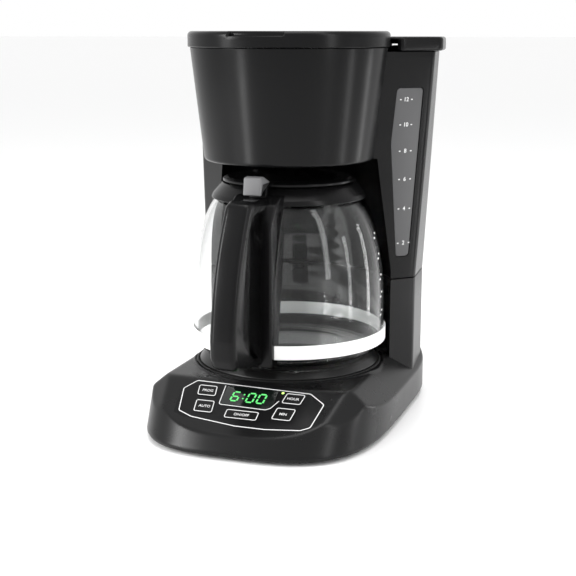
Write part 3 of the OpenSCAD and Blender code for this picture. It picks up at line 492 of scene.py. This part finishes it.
def recess(outer):
    """Sets the middle of the back in, where the rear cover lies."""
    at_back = np.where((outer[:, 1] > REAR_REACH - 8) & (np.abs(outer[:, 0]) < RECESS_HALF))[0]
    first, last = at_back[0], at_back[-1]
    outer[first - 1, 0] = RECESS_HALF
    outer[last + 1, 0] = -RECESS_HALF
    outer[at_back, 1] = RECESS_Y
    outer[first, 0] = RECESS_HALF
    outer[last, 0] = -RECESS_HALF


def tower_ring(z, d=0.0, upper=False, n_out=220, n_in=120):
    """Plan section of the tower at height z, moved inward by d; concave towards the carafe."""
    width, corner = tower_size(z)
    c, s = math.cos(FACET), math.sin(FACET)
    w = width / 2 - d
    y = corner + d * (1 - s) / c
    back = REAR_REACH - d
    r = inner_radius(z, upper) + d
    far = np.array([w - 60, y - 60 * s / c])
    near = np.array([w, y])
    way = near - far
    qa, qb, qc = way @ way, 2 * far @ way, far @ far - r * r
    k = (-qb + math.sqrt(max(qb * qb - 4 * qa * qc, 0))) / (2 * qa)
    start = far + way * k
    round_r = max(7 - d, 1.5)
    pts = [start, near, np.array([w - 4, back - 22]), np.array([w - 26, back]),
           np.array([26 - w, back]), np.array([4 - w, back - 22]), np.array([-w, y]),
           np.array([-start[0], start[1]])]
    radii = [0, round_r, 16, 16, 16, 16, round_r, 0]
    outer = resample(rounded(pts, radii, 10, closed=False), n_out, closed=False)
    if d < 1 and RECESS_LOW < z < RECESS_HIGH:
        recess(outer)
    a0 = math.atan2(start[1], start[0])
    angles = np.linspace(math.pi - a0, a0, n_in + 2)[1:-1]
    inner = np.stack([r * np.cos(angles), r * np.sin(angles)], axis=1)
    ring = np.vstack([outer, inner])
    return np.column_stack([ring, np.full(len(ring), z)])


def tower_parts():
    """Tower shell above the seam, outside up and inside down."""
    low, top = SEAM_Z + 0.3, TOWER_TOP
    zs_low = [low + 0.6, *np.linspace(low + 3, HEAD_Z, 26)]
    zs_up = sorted([*np.linspace(HEAD_Z, top - 0.8, 20), RECESS_HIGH - 0.05, RECESS_HIGH + 0.05])
    rings = [tower_ring(low, WALL), tower_ring(low, 0.5)]
    rings += [tower_ring(z) for z in zs_low]
    rings += [tower_ring(z, 0, True) for z in zs_up]
    rings += [tower_ring(top - 0.3, 0.15, True), tower_ring(top, 0.7, True), tower_ring(top, WALL, True)]
    rings += [tower_ring(z, WALL, True) for z in (top - 10, HEAD_Z + WALL)]
    rings += [tower_ring(z, WALL) for z in (HEAD_Z + WALL, 160, low)]
    return grid(rings)


def column_parts():
    """Lower part of the column, which belongs to the base."""
    rings = [tower_ring(z, d) for z, d in
             ((20, 0.0), (40, 0.0), (60, 0), (90, 0), (SEAM_Z - 0.9, 0), (SEAM_Z - 0.45, 0.15),
              (SEAM_Z - 0.3, 0.5), (SEAM_Z - 0.3, WALL), (30, WALL))]
    return grid(rings)


base = make("base_shell", [base_shell(), column_parts()], M["base_black"], 40)
settle(base, "machine", "housing_black", "base_housing")
tower = make("tower_shell", tower_parts(), M["housing_black"], 30)


def facet_point(u, v, lift=0.0):
    """Point on the right-hand window face: u along the face from its outer corner, v up."""
    z = SEAM_Z + v
    width, corner = tower_size(z)
    c, s = math.cos(FACET), math.sin(FACET)
    return np.array([width / 2 + u * c + lift * s, corner + u * s - lift * c, z])


def window_outline(grow=0.0):
    """Level window on the facet, narrow at its foot and widest at its belly."""
    edge, z0, z1, belly = -8.0, 19.0, 157.0, 19 + 138 * 0.68
    pts = [(edge, z0), (edge, z1), (edge - 24.5, z1), (edge - 26.0, belly), (edge - 12.0, z0)]
    pts = anticlockwise(rounded(pts, [3, 3, 3, 40, 3], 8))
    return inset(pts, -grow)


def facet_slab(outline, low, high, bevel):
    v, f = prism(outline, low, high, bevel)
    out = np.array([facet_point(x, y, lift) for x, y, lift in v])
    return out, f


hole = make("hole", facet_slab(window_outline(0.35), -8, 6, 0.01), None)
boolean(tower, hole)
shade(tower, 30)
add_bevel(tower, 0.35, 2, 50)
settle(tower, "machine", "housing_black", "tower_housing")

pane_part = facet_slab(window_outline(-0.05), -2.3, -0.25, 0.45)
pane = make("window_pane", pane_part, M["window_clear"], 40)
settle(pane, "machine", "window_clear", "level_window")


# ------------------------------------------------------------------ brew head
profile = rounded([(17, HEAD_Z - 2), (20, HEAD_Z - 2), (21.5, HEAD_Z), (head_r(HEAD_Z), HEAD_Z),
                   (head_r(RIM_TOP), RIM_TOP), (head_r(RIM_TOP) - WALL, RIM_TOP),
                   (head_r(HEAD_Z) - WALL, HEAD_Z + WALL), (17, HEAD_Z + WALL)],
                  [0.4, 0.6, 0.6, 3.2, 0.5, 0.5, 3, 0.4], 8)
head = make("brew_head_shell", lathe(profile, 256), M["housing_black"], 32)
ring = make("ring", lathe([(25, 213), (28, 213), (28, 216.9), (25, 216.9)], 96), None)
boolean(head, ring, "UNION")
shade(head, 32)
settle(head, "machine", "housing_black", "brew_head")


# ------------------------------------------------------------------ cover
def cap_outline(d, n=300):
    """Plan outline of the cover behind its disc, moved inward by d."""
    c, s = math.cos(FACET), math.sin(FACET)
    w = 110.5 - d
    y = 63.4 + d * (1 - s) / c
    x0, y0 = w - 28, y - 28 * s / c
    back = REAR_REACH - 0.3 - d
    pts = [(x0 - 20, y0 + 10), (x0, y0), (w, y), (w - 5, back - 20), (w - 26, back),
           (26 - w, back), (5 - w, back - 20), (-w, y), (-x0, y0), (20 - x0, y0 + 10)]
    return resample(rounded(pts, [2, 3.5, 8, 14, 14, 14, 14, 8, 3.5, 2], 8), n)


def disc_rings(n=480):
    """Front disc of the cover, with a shallow finger notch in its front edge."""
    t = np.linspace(0, 2 * math.pi, n, endpoint=False)
    x_rim = DISC_R * np.cos(t)
    near = np.clip((22.6 - np.abs(x_rim)) / 0.9, 0, 1) * (np.sin(t) < 0)
    rings = []
    z0 = RIM_TOP + 0.3
    prof = [(77.6, z0), (79.6, z0), (DISC_R, z0 + 0.5)]
    prof += [(DISC_R, z) for z in np.linspace(z0 + 1, 307.0, 5)]
    for r, z in prof:
        rings.append(np.stack([r * np.cos(t), r * np.sin(t), np.full(n, z)], axis=1))
    fillet = 3.4
    for i in range(9):
        w = math.pi / 2 * i / 8
        r = DISC_R - fillet + fillet * math.cos(w)
        z = TOP_Z - fillet + fillet * math.sin(w)
        z = z - near * max(0, z - 308.0)
        rr = r - near * 0.2
        rings.append(np.stack([rr * np.cos(t), rr * np.sin(t), np.broadcast_to(z, (n,))], axis=1))
    for r, drop in ((75.6, 1.0), (75.0, 1.0), (74.6, 0.9), (74.2, 0.55), (73.6, 0.15), (73.0, 0.0),
                    (60, 0), (30, 0), (0.05, 0)):
        z = TOP_Z - near * drop * 4.0
        rings.append(np.stack([r * np.cos(t), r * np.sin(t), z * np.ones(n)], axis=1))
    inner = [(0.05, 309.6), (60, 309.6), (75, 309.6), (77.6, 307), (77.6, z0)]
    for r, z in inner:
        zz = np.full(n, z) - near * (3.2 if r > 60 and z > 308 else 0)
        rings.append(np.stack([r * np.cos(t), r * np.sin(t), zz], axis=1))
    return grid(rings)


def lift_prism(low, high, d, bevel):
    return prism(anticlockwise(cap_outline(d)), low, high, bevel, 5)


cap = make("cover_shell", lift_prism(296.2, 307.5, 0, 2.4), M["housing_black"], 32)
boolean(cap, make("c1", lift_prism(290, 305.3, 2.2, 0.5), None))
disc_cut = lathe([(0.01, 290), (78.2, 290), (78.2, 330), (0.01, 330)], 256, False)
boolean(cap, make("c2", disc_cut, None))
for x in (-62.3, 53.7):
    lug_cut = prism([(x, 113), (x + 8.6, 113), (x + 8.6, 130), (x, 130)], 290, 301.2, 0.01)
    boolean(cap, make("c3", lug_cut, None))
disc = make("disc", disc_rings(), M["housing_black"], 32)
shade(cap, 32)
shade(disc, 32)
knuckles = []
for x in (-53.7, 40.0):
    t = np.linspace(0, 2 * math.pi, 40, endpoint=False)
    rings = []
    for r, xx in ((1.7, 0), (3.5, 0), (HINGE_R, 0.5), (HINGE_R, 13.2), (3.5, 13.7), (1.7, 13.7)):
        rings.append(np.stack([np.full(40, x + xx), HINGE_Y + r * np.cos(t), HINGE_Z + r * np.sin(t)],
                              axis=1))
    knuckles.append(grid(rings + [rings[0]]))
knuckle = make("cover_knuckles", knuckles, M["housing_black"], 32)
settle(cap, "cover", "housing_black", "cover")
settle(disc, "cover", "housing_black")
settle(knuckle, "cover", "housing_black")
disc.name = "cover_disc"

hinge_lugs = []
for x in (-62.0, 54.0):
    t = np.linspace(0, math.pi, 24)
    side = [(117.9, 287.5), (121.3, 287.5), (125.6, 291.5), (125.6, HINGE_Z)]
    side += [(HINGE_Y + HINGE_R * math.cos(a), HINGE_Z + HINGE_R * math.sin(a)) for a in t[1:-1]]
    side += [(117.6, HINGE_Z)]
    rings = []
    for d, xx in ((0.5, 0), (0, 0.5), (0, 7.5), (0.5, 8.0)):
        p = inset(anticlockwise(side), d)
        rings.append(np.column_stack([np.full(len(p), x + xx), p]))
    hinge_lugs.append(grid(rings, caps=(True, True)))
lugs = make("hinge_lugs", hinge_lugs, M["housing_black"], 32)
settle(lugs, "machine", "housing_black")

# ------------------------------------------------------------------ carafe
# outside of the glass: (radius, height above the foot)
GLASS = [(0.02, 0), (40, 0), (56, 0.2), (63, 0.9), (69, 2.6), (73, 5.2), (75.9, 8.6), (77.6, 12.4),
         (78.5, 17), (GLASS_R, 24), (GLASS_R, 38), (78.55, 50), (78.0, 62), (77.0, 73), (75.4, 84),
         (73.2, 94.5), (70.6, 104.5), (67.6, 113), (64.4, 120), (61.2, 125.2), (58.6, 128.6),
         (56.8, 130.6), (56.0, 132)]


def glass_profile():
    """Wall of the glass as a closed half section, outside up and inside down."""
    pts = np.array(GLASS)
    out = resample(pts, 90, closed=False)
    d = np.gradient(out, axis=0)
    normal = np.stack([d[:, 1], -d[:, 0]], axis=1)
    normal /= np.linalg.norm(normal, axis=1, keepdims=True)
    ins = out - normal * GLASS_T
    ins[0] = (0.02, GLASS_T)
    ins[:, 0] = np.maximum(ins[:, 0], 0.02)
    lip = [(55.2, 132.3), (54.4, 132.3)]
    prof = np.vstack([out, lip, ins[::-1]])
    prof[:, 1] += CARAFE_Z
    return prof


glass = make("carafe_body", lathe(glass_profile(), 256, False), M["glass_clear"], 50)
settle(glass, "carafe", "glass_clear", "carafe_glass")

band_prof = rounded([(78.8, 64.3), (80.0, 64.3), (80.0, 75.3), (78.8, 75.3)], [0.1, 0.4, 0.4, 0.1], 4)
band = make("band_strip", lathe(band_prof, 256), M["band_steel"], 40)
settle(band, "carafe", "band_steel", "carafe_band")

collar_prof = rounded([(56.4, 185.3), (57.9, 183.5), (61.2, 180.6), (63.0, 181.0), (61.4, 184.6),
                       (55.6, 191.4), (53.9, 193.1), (50, 193.1), (50, 185.6)],
                      [0.2, 0.3, 0.3, 0.8, 2.0, 2.0, 0.6, 0.5, 0.3], 6)
collar = make("collar_ring", lathe(collar_prof, 256), M["housing_black"], 40)
turn = Matrix.Rotation(-HANDLE_TURN, 4, "Z")


def side_slab(points, half, edge, n=160, radii=0.0, steps=6):
    """Solid from a side outline in (distance from the plate's axis, height above the carafe's
    foot), half wide each way, with rounded long edges, turned with the handle."""
    p = anticlockwise(resample(rounded(points, radii, 8), n))
    rings = []
    for i in range(steps + 1):
        w = math.pi / 2 * i / steps
        rings.append((edge * (1 - math.sin(w)), -half + edge * (1 - math.cos(w))))
    for i in range(steps + 1):
        w = math.pi / 2 * i / steps
        rings.append((edge * (1 - math.cos(w)), half - edge * (1 - math.sin(w))))
    out = []
    for d, lateral in rings:
        q = inset(p, d)
        out.append(np.column_stack([np.full(n, lateral), -q[:, 0], q[:, 1] + CARAFE_Z]))
    return moved(grid(out, caps=(True, True)), turn)


def bezier(a, b, c, n=14):
    """Points on the curve from a to c that leans towards b."""
    t = np.linspace(0, 1, n)[:, None]
    return (1 - t) ** 2 * np.array(a) + 2 * t * (1 - t) * np.array(b) + t * t * np.array(c)


grip_side = ([(62, 122), (62, 134.5), (96, 136)]
             + [tuple(q) for q in bezier((102.3, 133.5), (127, 92), (133.3, 36))]
             + [(132.5, 22), (128, 13.5), (106, 9.5), (78, 5), (78, 17), (100, 22)]
             + [tuple(q) for q in bezier((111.5, 34), (110.8, 90), (96.5, 119.5))]
             + [(90, 122)])
grip_radii = [0.5, 1.5, 5] + [6] + [0] * 12 + [4] + [5, 5, 3, 1, 1, 6] + [5] + [0] * 12 + [3] + [3]
handle = make("handle_grip", side_slab(grip_side, 10.5, 4.8, 260, grip_radii), M["housing_black"], 34)
saddle_side = [(70, 123), (52, 123.4), (52, 135.5), (64, 135.5), (73, 130), (SADDLE_R, 116),
               (SADDLE_R, 5), (70, 5)]
saddle_part = side_slab(saddle_side, 19, 1.6, 220, [0, 0, 0.5, 3, 8, 14, 2, 0])
saddle = make("saddle", saddle_part, M["housing_black"], 34)
boolean(handle, saddle, "UNION")
outside = [(r + 0.32 if r > 1 else r, z) for r, z in GLASS if z < 128]
cut = [(0.01, CARAFE_Z - 3), (GLASS_R - 20, CARAFE_Z - 3)]
cut += [(r + 0.3, z + CARAFE_Z) for r, z in outside[3:]]
cut += [(63.4, 180.4), (63.5, 181.2), (61.8, 184.8), (55.0, 192.6), (55.0, 215), (0.01, 215)]
boolean(handle, make("cut", lathe(cut, 256, False), None))
band_cut = lathe([(0.01, 64.0), (80.4, 64.0), (80.4, 75.6), (0.01, 75.6)], 256, False)
boolean(handle, make("cut2", band_cut, None))
slot_cut = side_slab([(52, 129.5), (69, 129.5), (69, 141), (52, 141)], 7.5, 0.01, 40)
boolean(handle, make("cut3", slot_cut, None))
shade(handle, 34)
settle(handle, "carafe", "housing_black", "carafe_handle")
collar_cut = side_slab([(57.5, 129.5), (81, 129.5), (81, 162), (57.5, 162)], 7.5, 0.01, 40)
boolean(collar, make("cut4", collar_cut, None))
shade(collar, 40)
settle(collar, "carafe", "housing_black", "carafe_collar")

lid_prof = rounded([(0.02, 194.6), (8, 194.6), (20, 193.2), (44, 193.4), (45.8, 186.5), (47.8, 186.5),
                    (47.9, 194.2), (53.4, 194.4), (53.4, 196.4), (49.5, 197.8), (44, 198.0),
                    (28, 201.4), (16, 203.0), (0.02, 203.2)],
                   [0, 0, 2, 1, 0.3, 0.3, 0.5, 0.5, 0.9, 1.5, 2, 6, 5, 0], 6, closed=False)
lid = make("lid_disc", lathe(lid_prof, 256, False), M["housing_black"], 40)
tongue = side_slab([(45, 141.3), (45, 144.2), (63, 144.2), (64.6, 134), (63, 130.7), (59, 130.7),
                    (58.6, 141.3)], 7, 0.6, 120, [0.3, 0.5, 2, 1.5, 1.5, 1.5, 1])
boolean(lid, make("t", tongue, None), "UNION")
for i in range(8):
    a = math.radians(45 * i)
    drill = lathe([(0.01, 180), (1.5, 180), (1.5, 215), (0.01, 215)], 20, False)
    at = Matrix.Translation((5.5 * math.cos(a), 5.5 * math.sin(a), 0))
    boolean(lid, make("h", moved(drill, at), None))
pin_cut = side_slab([(60, 132.5), (62, 132.5), (62, 134.5), (60, 134.5)], 22, 0.01, 8)
boolean(lid, make("pin", pin_cut, None))
shade(lid, 34)
settle(lid, "carafe_lid", "housing_black", "carafe_lid")

lever_side = [(57.2, 144.5), (57.2, 146.6), (68.6, 151.0), (74.2, 150.4), (76.0, 137.0), (72.6, 136.7),
              (70.2, 144.4)]
lever_part = side_slab(lever_side, 7.25, 1.2, 160, [0.6, 1, 2.2, 1.8, 0.8, 0.8, 1])
lever = make("lever_block", lever_part, M["lever_grey"], 34)
settle(lever, "carafe_lid", "lever_grey", "thumb_lever")

# ------------------------------------------------------------------ warming plate
plate_prof = rounded([(0.02, 51.5), (67, 51.5), (71.8, 46.6), (71.8, 45.6), (74.0, 45.6), (74.0, 47.2),
                      (70.4, 51.6), (68.6, 53.0), (66.0, 53.0), (64.6, 52.7), (0.02, 52.7)],
                     [0, 1, 1, 0.1, 0.2, 1.2, 2, 1.2, 1, 0.6, 0], 6, closed=False)
plate = make("hot_plate", lathe(plate_prof, 256, False), M["plate_enamel"], 40)
settle(plate, "machine", "plate_enamel", "warming_plate")
seal_prof = rounded([(63, 40.9), (65.7, 40.9), (65.7, 45.2), (76.3, 45.2), (76.3, 46.0), (75.2, 46.4),
                     (74.6, 45.7), (65.4, 45.6), (65.4, 46), (63, 46)], 0.2, 3)
seal = make("plate_gasket", lathe(seal_prof, 256), M["rubber_black"], 40)
settle(seal, "machine", "rubber_black", "plate_seal")

# ------------------------------------------------------------------ control panel
PANEL_AT = Matrix.Translation((0, -99.6, DECK_Z - PANEL_K * 19.6))
PANEL_AT = PANEL_AT @ Matrix.Rotation(PANEL_ANGLE, 4, "X")
HEX = [(-55.5, 9.4), (-47, 19), (46.8, 16.4), (60, 6.8), (55.9, -17.5), (49.2, -21.3), (21.9, -24.1),
       (-2, -23.9), (-39, -19), (-51, -14)]
PANEL_EDGE = [(-47, 18.6), (47, 18.6), (58, 10.2), (55, -16.2), (46, -20.2), (0, -23.6), (-46, -20.2),
              (-55, -16.2), (-58, 10.2)]
# per key: middle x and y on the panel, width, height, word
KEYS = {
    "button_prog": (-34.5, 9, 16, 11.5, "PROG"),
    "button_auto": (-31.5, -7.5, 16, 13, "AUTO"),
    "button_on_off": (0, -12.5, 27, 9.5, "ON/OFF"),
    "button_hour": (34.5, 9, 16, 11.5, "HOUR"),
    "button_min": (31.5, -7.5, 16, 13, "MIN"),
}


def on_panel(part):
    return moved(part, PANEL_AT)


def key_outline(x, y, w, h, grow=0.0):
    """Outline of a key, leaning away from the panel's middle."""
    lean = x * 0.047
    w, h = w / 2 + grow, h / 2 + grow
    pts = [(x - w, y - h), (x + w, y - h), (x + w + lean, y + h), (x - w + lean, y + h)]
    return anticlockwise(rounded(pts, 1.4, 5))


plate_face = make("panel_face", on_panel(prism(anticlockwise(rounded(PANEL_EDGE, 3, 6)), -1.1, 0.05, 0.2)),
                  M["panel_plastic"], 40)
for x, y, w, h, word in KEYS.values():
    boolean(plate_face, make("k", on_panel(prism(key_outline(x, y, w, h, 0.3), -4, 4, 0.01)), None))
lens_out = anticlockwise(rounded([(-21, -2.9), (21, -2.9), (21, 16.1), (-21, 16.1)], 1.0, 4))
boolean(plate_face, make("k", on_panel(prism(inset(lens_out, -0.1), -4, 4, 0.01)), None))
LAMP_AT = Matrix.Translation((LAMP_X, LAMP_Y, 0))
lamp_cut = lathe([(0.01, -4), (1.45, -4), (1.45, 4), (0.01, 4)], 24, False)
boolean(plate_face, make("k", on_panel(moved(lamp_cut, LAMP_AT)), None))
shade(plate_face, 40)
settle(plate_face, "machine", "panel_plastic", "control_panel")

lens = make("clock_lens", on_panel(prism(lens_out, -1.1, 0.12, 0.15)), M["lens_tint"], 40)
settle(lens, "machine", "lens_tint", "display_lens")
led_part = lathe([(0.02, -6), (1.9, -6), (1.9, -3.6), (1.3, -3.6), (1.3, -0.5), (1.0, 0.0), (0.5, 0.25),
                  (0.02, 0.3)], 32, False)
led = make("led_dome", on_panel(moved(led_part, LAMP_AT)), M["led_green"], 50)
settle(led, "machine", "led_green", "indicator_led")


def stroke(points, width, low, high, closed=True):
    """Thin raised line along a polyline in panel coordinates."""
    p = np.asarray(points, float)
    if closed:
        a, b = inset(p, -width / 2), inset(p, width / 2)
    else:
        d = np.gradient(p, axis=0)
        n = np.stack([-d[:, 1], d[:, 0]], axis=1)
        n /= np.linalg.norm(n, axis=1, keepdims=True)
        a, b = p - n * width / 2, p + n * width / 2
    section = ((a, low), (a, high), (b, high), (b, low), (a, low))
    rings = [np.column_stack([q, np.full(len(q), z)]) for q, z in section]
    v, f = grid(rings, wrap=closed)
    if closed:
        return v, f
    k = len(p)
    f.append((0, k, 2 * k, 3 * k))
    f.append((k - 1, 2 * k - 1, 3 * k - 1, 4 * k - 1)[::-1])
    return v, f


def words(text, size, x, y, z, matrix, mat, name, body, slot, thick, bold):
    """Raised text centred at x, y, z, placed by a matrix or by a function of its mesh."""
    c = bpy.data.curves.new(name, "FONT")
    c.body = text
    c.size = size
    c.align_x = "CENTER"
    c.align_y = "CENTER"
    c.extrude = thick * 0.5
    c.offset = bold
    ob = bpy.data.objects.new(name, c)
    SCENE.collection.objects.link(ob)
    me = bpy.data.meshes.new_from_object(ob.evaluated_get(bpy.context.evaluated_depsgraph_get()))
    bpy.data.objects.remove(ob)
    v = [(p.co[0] + x, p.co[1] + y, p.co[2] + z) for p in me.vertices]
    f = [tuple(q.vertices) for q in me.polygons]
    bpy.data.meshes.remove(me)
    part = matrix(v, f) if callable(matrix) else moved((np.array(v), f), matrix)
    out = make(name, part, mat, 30, weld=False)
    return settle(out, body, slot)


def key_cap(name, x, y, w, h, word):
    """Key with its flange, printed outline and word."""
    cap_part = prism(key_outline(x, y, w, h), -2.0, 0.6, 0.35)
    flange = prism(key_outline(x, y, w, h, 0.85), -2.1, -1.35, 0.1)
    ob = make(name + "_cap", [on_panel(cap_part), on_panel(flange)], M["key_plastic"], 40)
    settle(ob, name, "key_plastic", name)
    line_part = stroke(key_outline(x, y, w, h, -0.75), 0.62, 0.5, 0.68)
    line = make(name + "_line", on_panel(line_part), PRINT, 40)
    settle(line, name, "key_plastic")
    words(word, 3.4, x + x * 0.012, y - 0.1, 0.64, PANEL_AT, PRINT, name + "_word", name, "key_plastic",
          0.1, 0.02)


for key_name, spec in KEYS.items():
    key_cap(key_name, *spec)

hex_line = rounded(HEX, 2.2, 6)
lines = [stroke(resample(hex_line, 240), 0.7, -0.02, 0.12)]
clock_line = rounded([(-22.6, 16.4), (-21.6, -3.6), (16.6, -4.6), (20.2, -2.4), (24.4, 5.8)], 2.0, 6,
                     closed=False)
lines.append(stroke(resample(clock_line, 80, closed=False), 0.6, -0.02, 0.16, closed=False))
outline = make("panel_lines", [on_panel(q) for q in lines], PRINT, 40)
settle(outline, "machine", "panel_plastic")

SEGMENTS = {"a": ((0.12, 1), (0.88, 1)), "b": ((1, 0.93), (1, 0.57)), "c": ((1, 0.43), (1, 0.07)),
            "d": ((0.12, 0), (0.88, 0)), "e": ((0, 0.07), (0, 0.43)), "f": ((0, 0.57), (0, 0.93)),
            "g": ((0.12, 0.5), (0.88, 0.5))}
# seven-segment digits: left edge and lit segments
digit_parts = []
for x0, segs in ((-14.2, "acdefg"), (-1.6, "abcdef"), (7.0, "abcdef")):
    for s in segs:
        (ax, ay), (bx, by) = SEGMENTS[s]
        w, h = 5.4, 9.4
        p = [(x0 + ax * w + ay * 1.0, 1.4 + ay * h), (x0 + bx * w + by * 1.0, 1.4 + by * h)]
        pts = np.array([p[0], np.mean(p, axis=0), p[1]])
        digit_parts.append(stroke(pts, 1.25, 0.06, 0.2, closed=False))
for y in (4.0, 8.2):
    dot = np.array([(-4.7, y), (-4.5, y + 0.55), (-4.3, y + 1.1)])
    digit_parts.append(stroke(dot, 1.2, 0.06, 0.2, closed=False))
digits = make("clock_digits", [on_panel(q) for q in digit_parts], DIGITS, 40)
settle(digits, "machine", "led_green")

# ------------------------------------------------------------------ window numbers and carafe marks
for number, z in (("12", 257.7), ("10", 237.4), ("8", 216.1), ("6", 193.0), ("4", 168.7), ("2", 140.1)):
    v_at = z - SEAM_Z
    u_at = -14.0 - (z - 140.1) * 0.0775

    def place(v, f, u_at=u_at, v_at=v_at):
        return np.array([facet_point(u_at + a, v_at + b, c - 0.22) for a, b, c in v]), f
    words(number, 4.7, 0, 0, 0, place, PRINT, "level_" + number, "machine", "window_clear", 0.1, 0.05)
    dots = []
    for side in (-1, 1):
        middle = u_at + side * 5.2
        q = np.array([(middle - 0.75, v_at), (middle, v_at), (middle + 0.75, v_at)])
        sv, sf = stroke(q, 0.8, -0.24, -0.12, closed=False)
        dots.append((np.array([facet_point(a, b, c) for a, b, c in sv]), sf))
    mark = make("level_dots_" + number, dots, PRINT, 40)
    settle(mark, "machine", "window_clear")

marks = []
for level in (100.5, 84, 67, 53, 38):
    for da, dz, w in ((0, 0, 2.2), (-2.6, -3.4, 2.6)):
        a0 = math.radians(1.5 + da)
        half = math.radians(w / 2)
        ts = np.linspace(a0 - half, a0 + half, 6)
        rings = []
        for z in (level + dz - 0.7, level + dz + 0.7):
            rr = np.interp(z, [q[1] for q in GLASS], [q[0] for q in GLASS]) + 0.1
            rings.append(np.stack([rr * np.cos(ts), rr * np.sin(ts), np.full(6, z + CARAFE_Z)], axis=1))
        marks.append(grid(rings, wrap=False))
ticks = make("carafe_marks", marks, PRINT, 40)
settle(ticks, "carafe", "glass_clear")

# ------------------------------------------------------------------ stage, light and camera
def plain(name, color, rough=0.6):
    m = bpy.data.materials.new(name)
    m.use_nodes = True
    b = m.node_tree.nodes["Principled BSDF"]
    b.inputs["Base Color"].default_value = (*color, 1)
    b.inputs["Roughness"].default_value = rough
    return m


floor_mesh = bpy.data.meshes.new("floor")
floor_mesh.from_pydata([(-60, -60, 0), (60, -60, 0), (60, 60, 0), (-60, 60, 0)], [], [(0, 1, 2, 3)])
floor = bpy.data.objects.new("floor", floor_mesh)
floor_mesh.materials.append(plain("floor", (0.93, 0.93, 0.93), 0.35))
SCENE.collection.objects.link(floor)

world = bpy.data.worlds.new("room")
world.use_nodes = True
world.node_tree.nodes["Background"].inputs["Color"].default_value = (1, 1, 1, 1)
world.node_tree.nodes["Background"].inputs["Strength"].default_value = 1.0
SCENE.world = world


def area_light(name, at, look, size, power, shape="RECTANGLE"):
    d = bpy.data.lights.new(name, "AREA")
    d.shape = shape
    d.size, d.size_y = size
    d.energy = power
    o = bpy.data.objects.new(name, d)
    o.location = at
    o.rotation_euler = (Vector(look) - Vector(at)).to_track_quat("-Z", "Y").to_euler()
    SCENE.collection.objects.link(o)
    return o


area_light("left_box", (-1.25, -0.95, 0.75), (0, 0, 0.15), (0.3, 0.9), 18)
area_light("right_strip", (1.35, -0.6, 0.9), (0, 0, 0.17), (0.2, 1.7), 7)
area_light("top_box", (0.1, -0.1, 1.6), (0, 0, 0.1), (1.0, 1.0), 12)
for number, (turn_deg, width, watts) in enumerate(((-34, 0.045, 0.42), (91, 0.02, 0.2), (121, 0.02, 0.2))):
    a = math.radians(turn_deg)
    low_strip = area_light("low_strip_%d" % number, (0.42 * math.sin(a), -0.42 * math.cos(a), 0.14),
                           (0, 0, 0.22), (width, 0.26), watts)
    low_strip.visible_camera = False

cam_data = bpy.data.cameras.new("camera")
cam_data.lens = 75.0
cam_data.sensor_width = 36.0
cam_data.clip_end = 200
cam = bpy.data.objects.new("camera", cam_data)
cam.location = (0.3152, -0.9122, 0.3122)
cam.rotation_euler = (math.radians(77.9), 0, math.radians(19.0))
SCENE.collection.objects.link(cam)
SCENE.camera = cam
SCENE.view_settings.view_transform = "Standard"
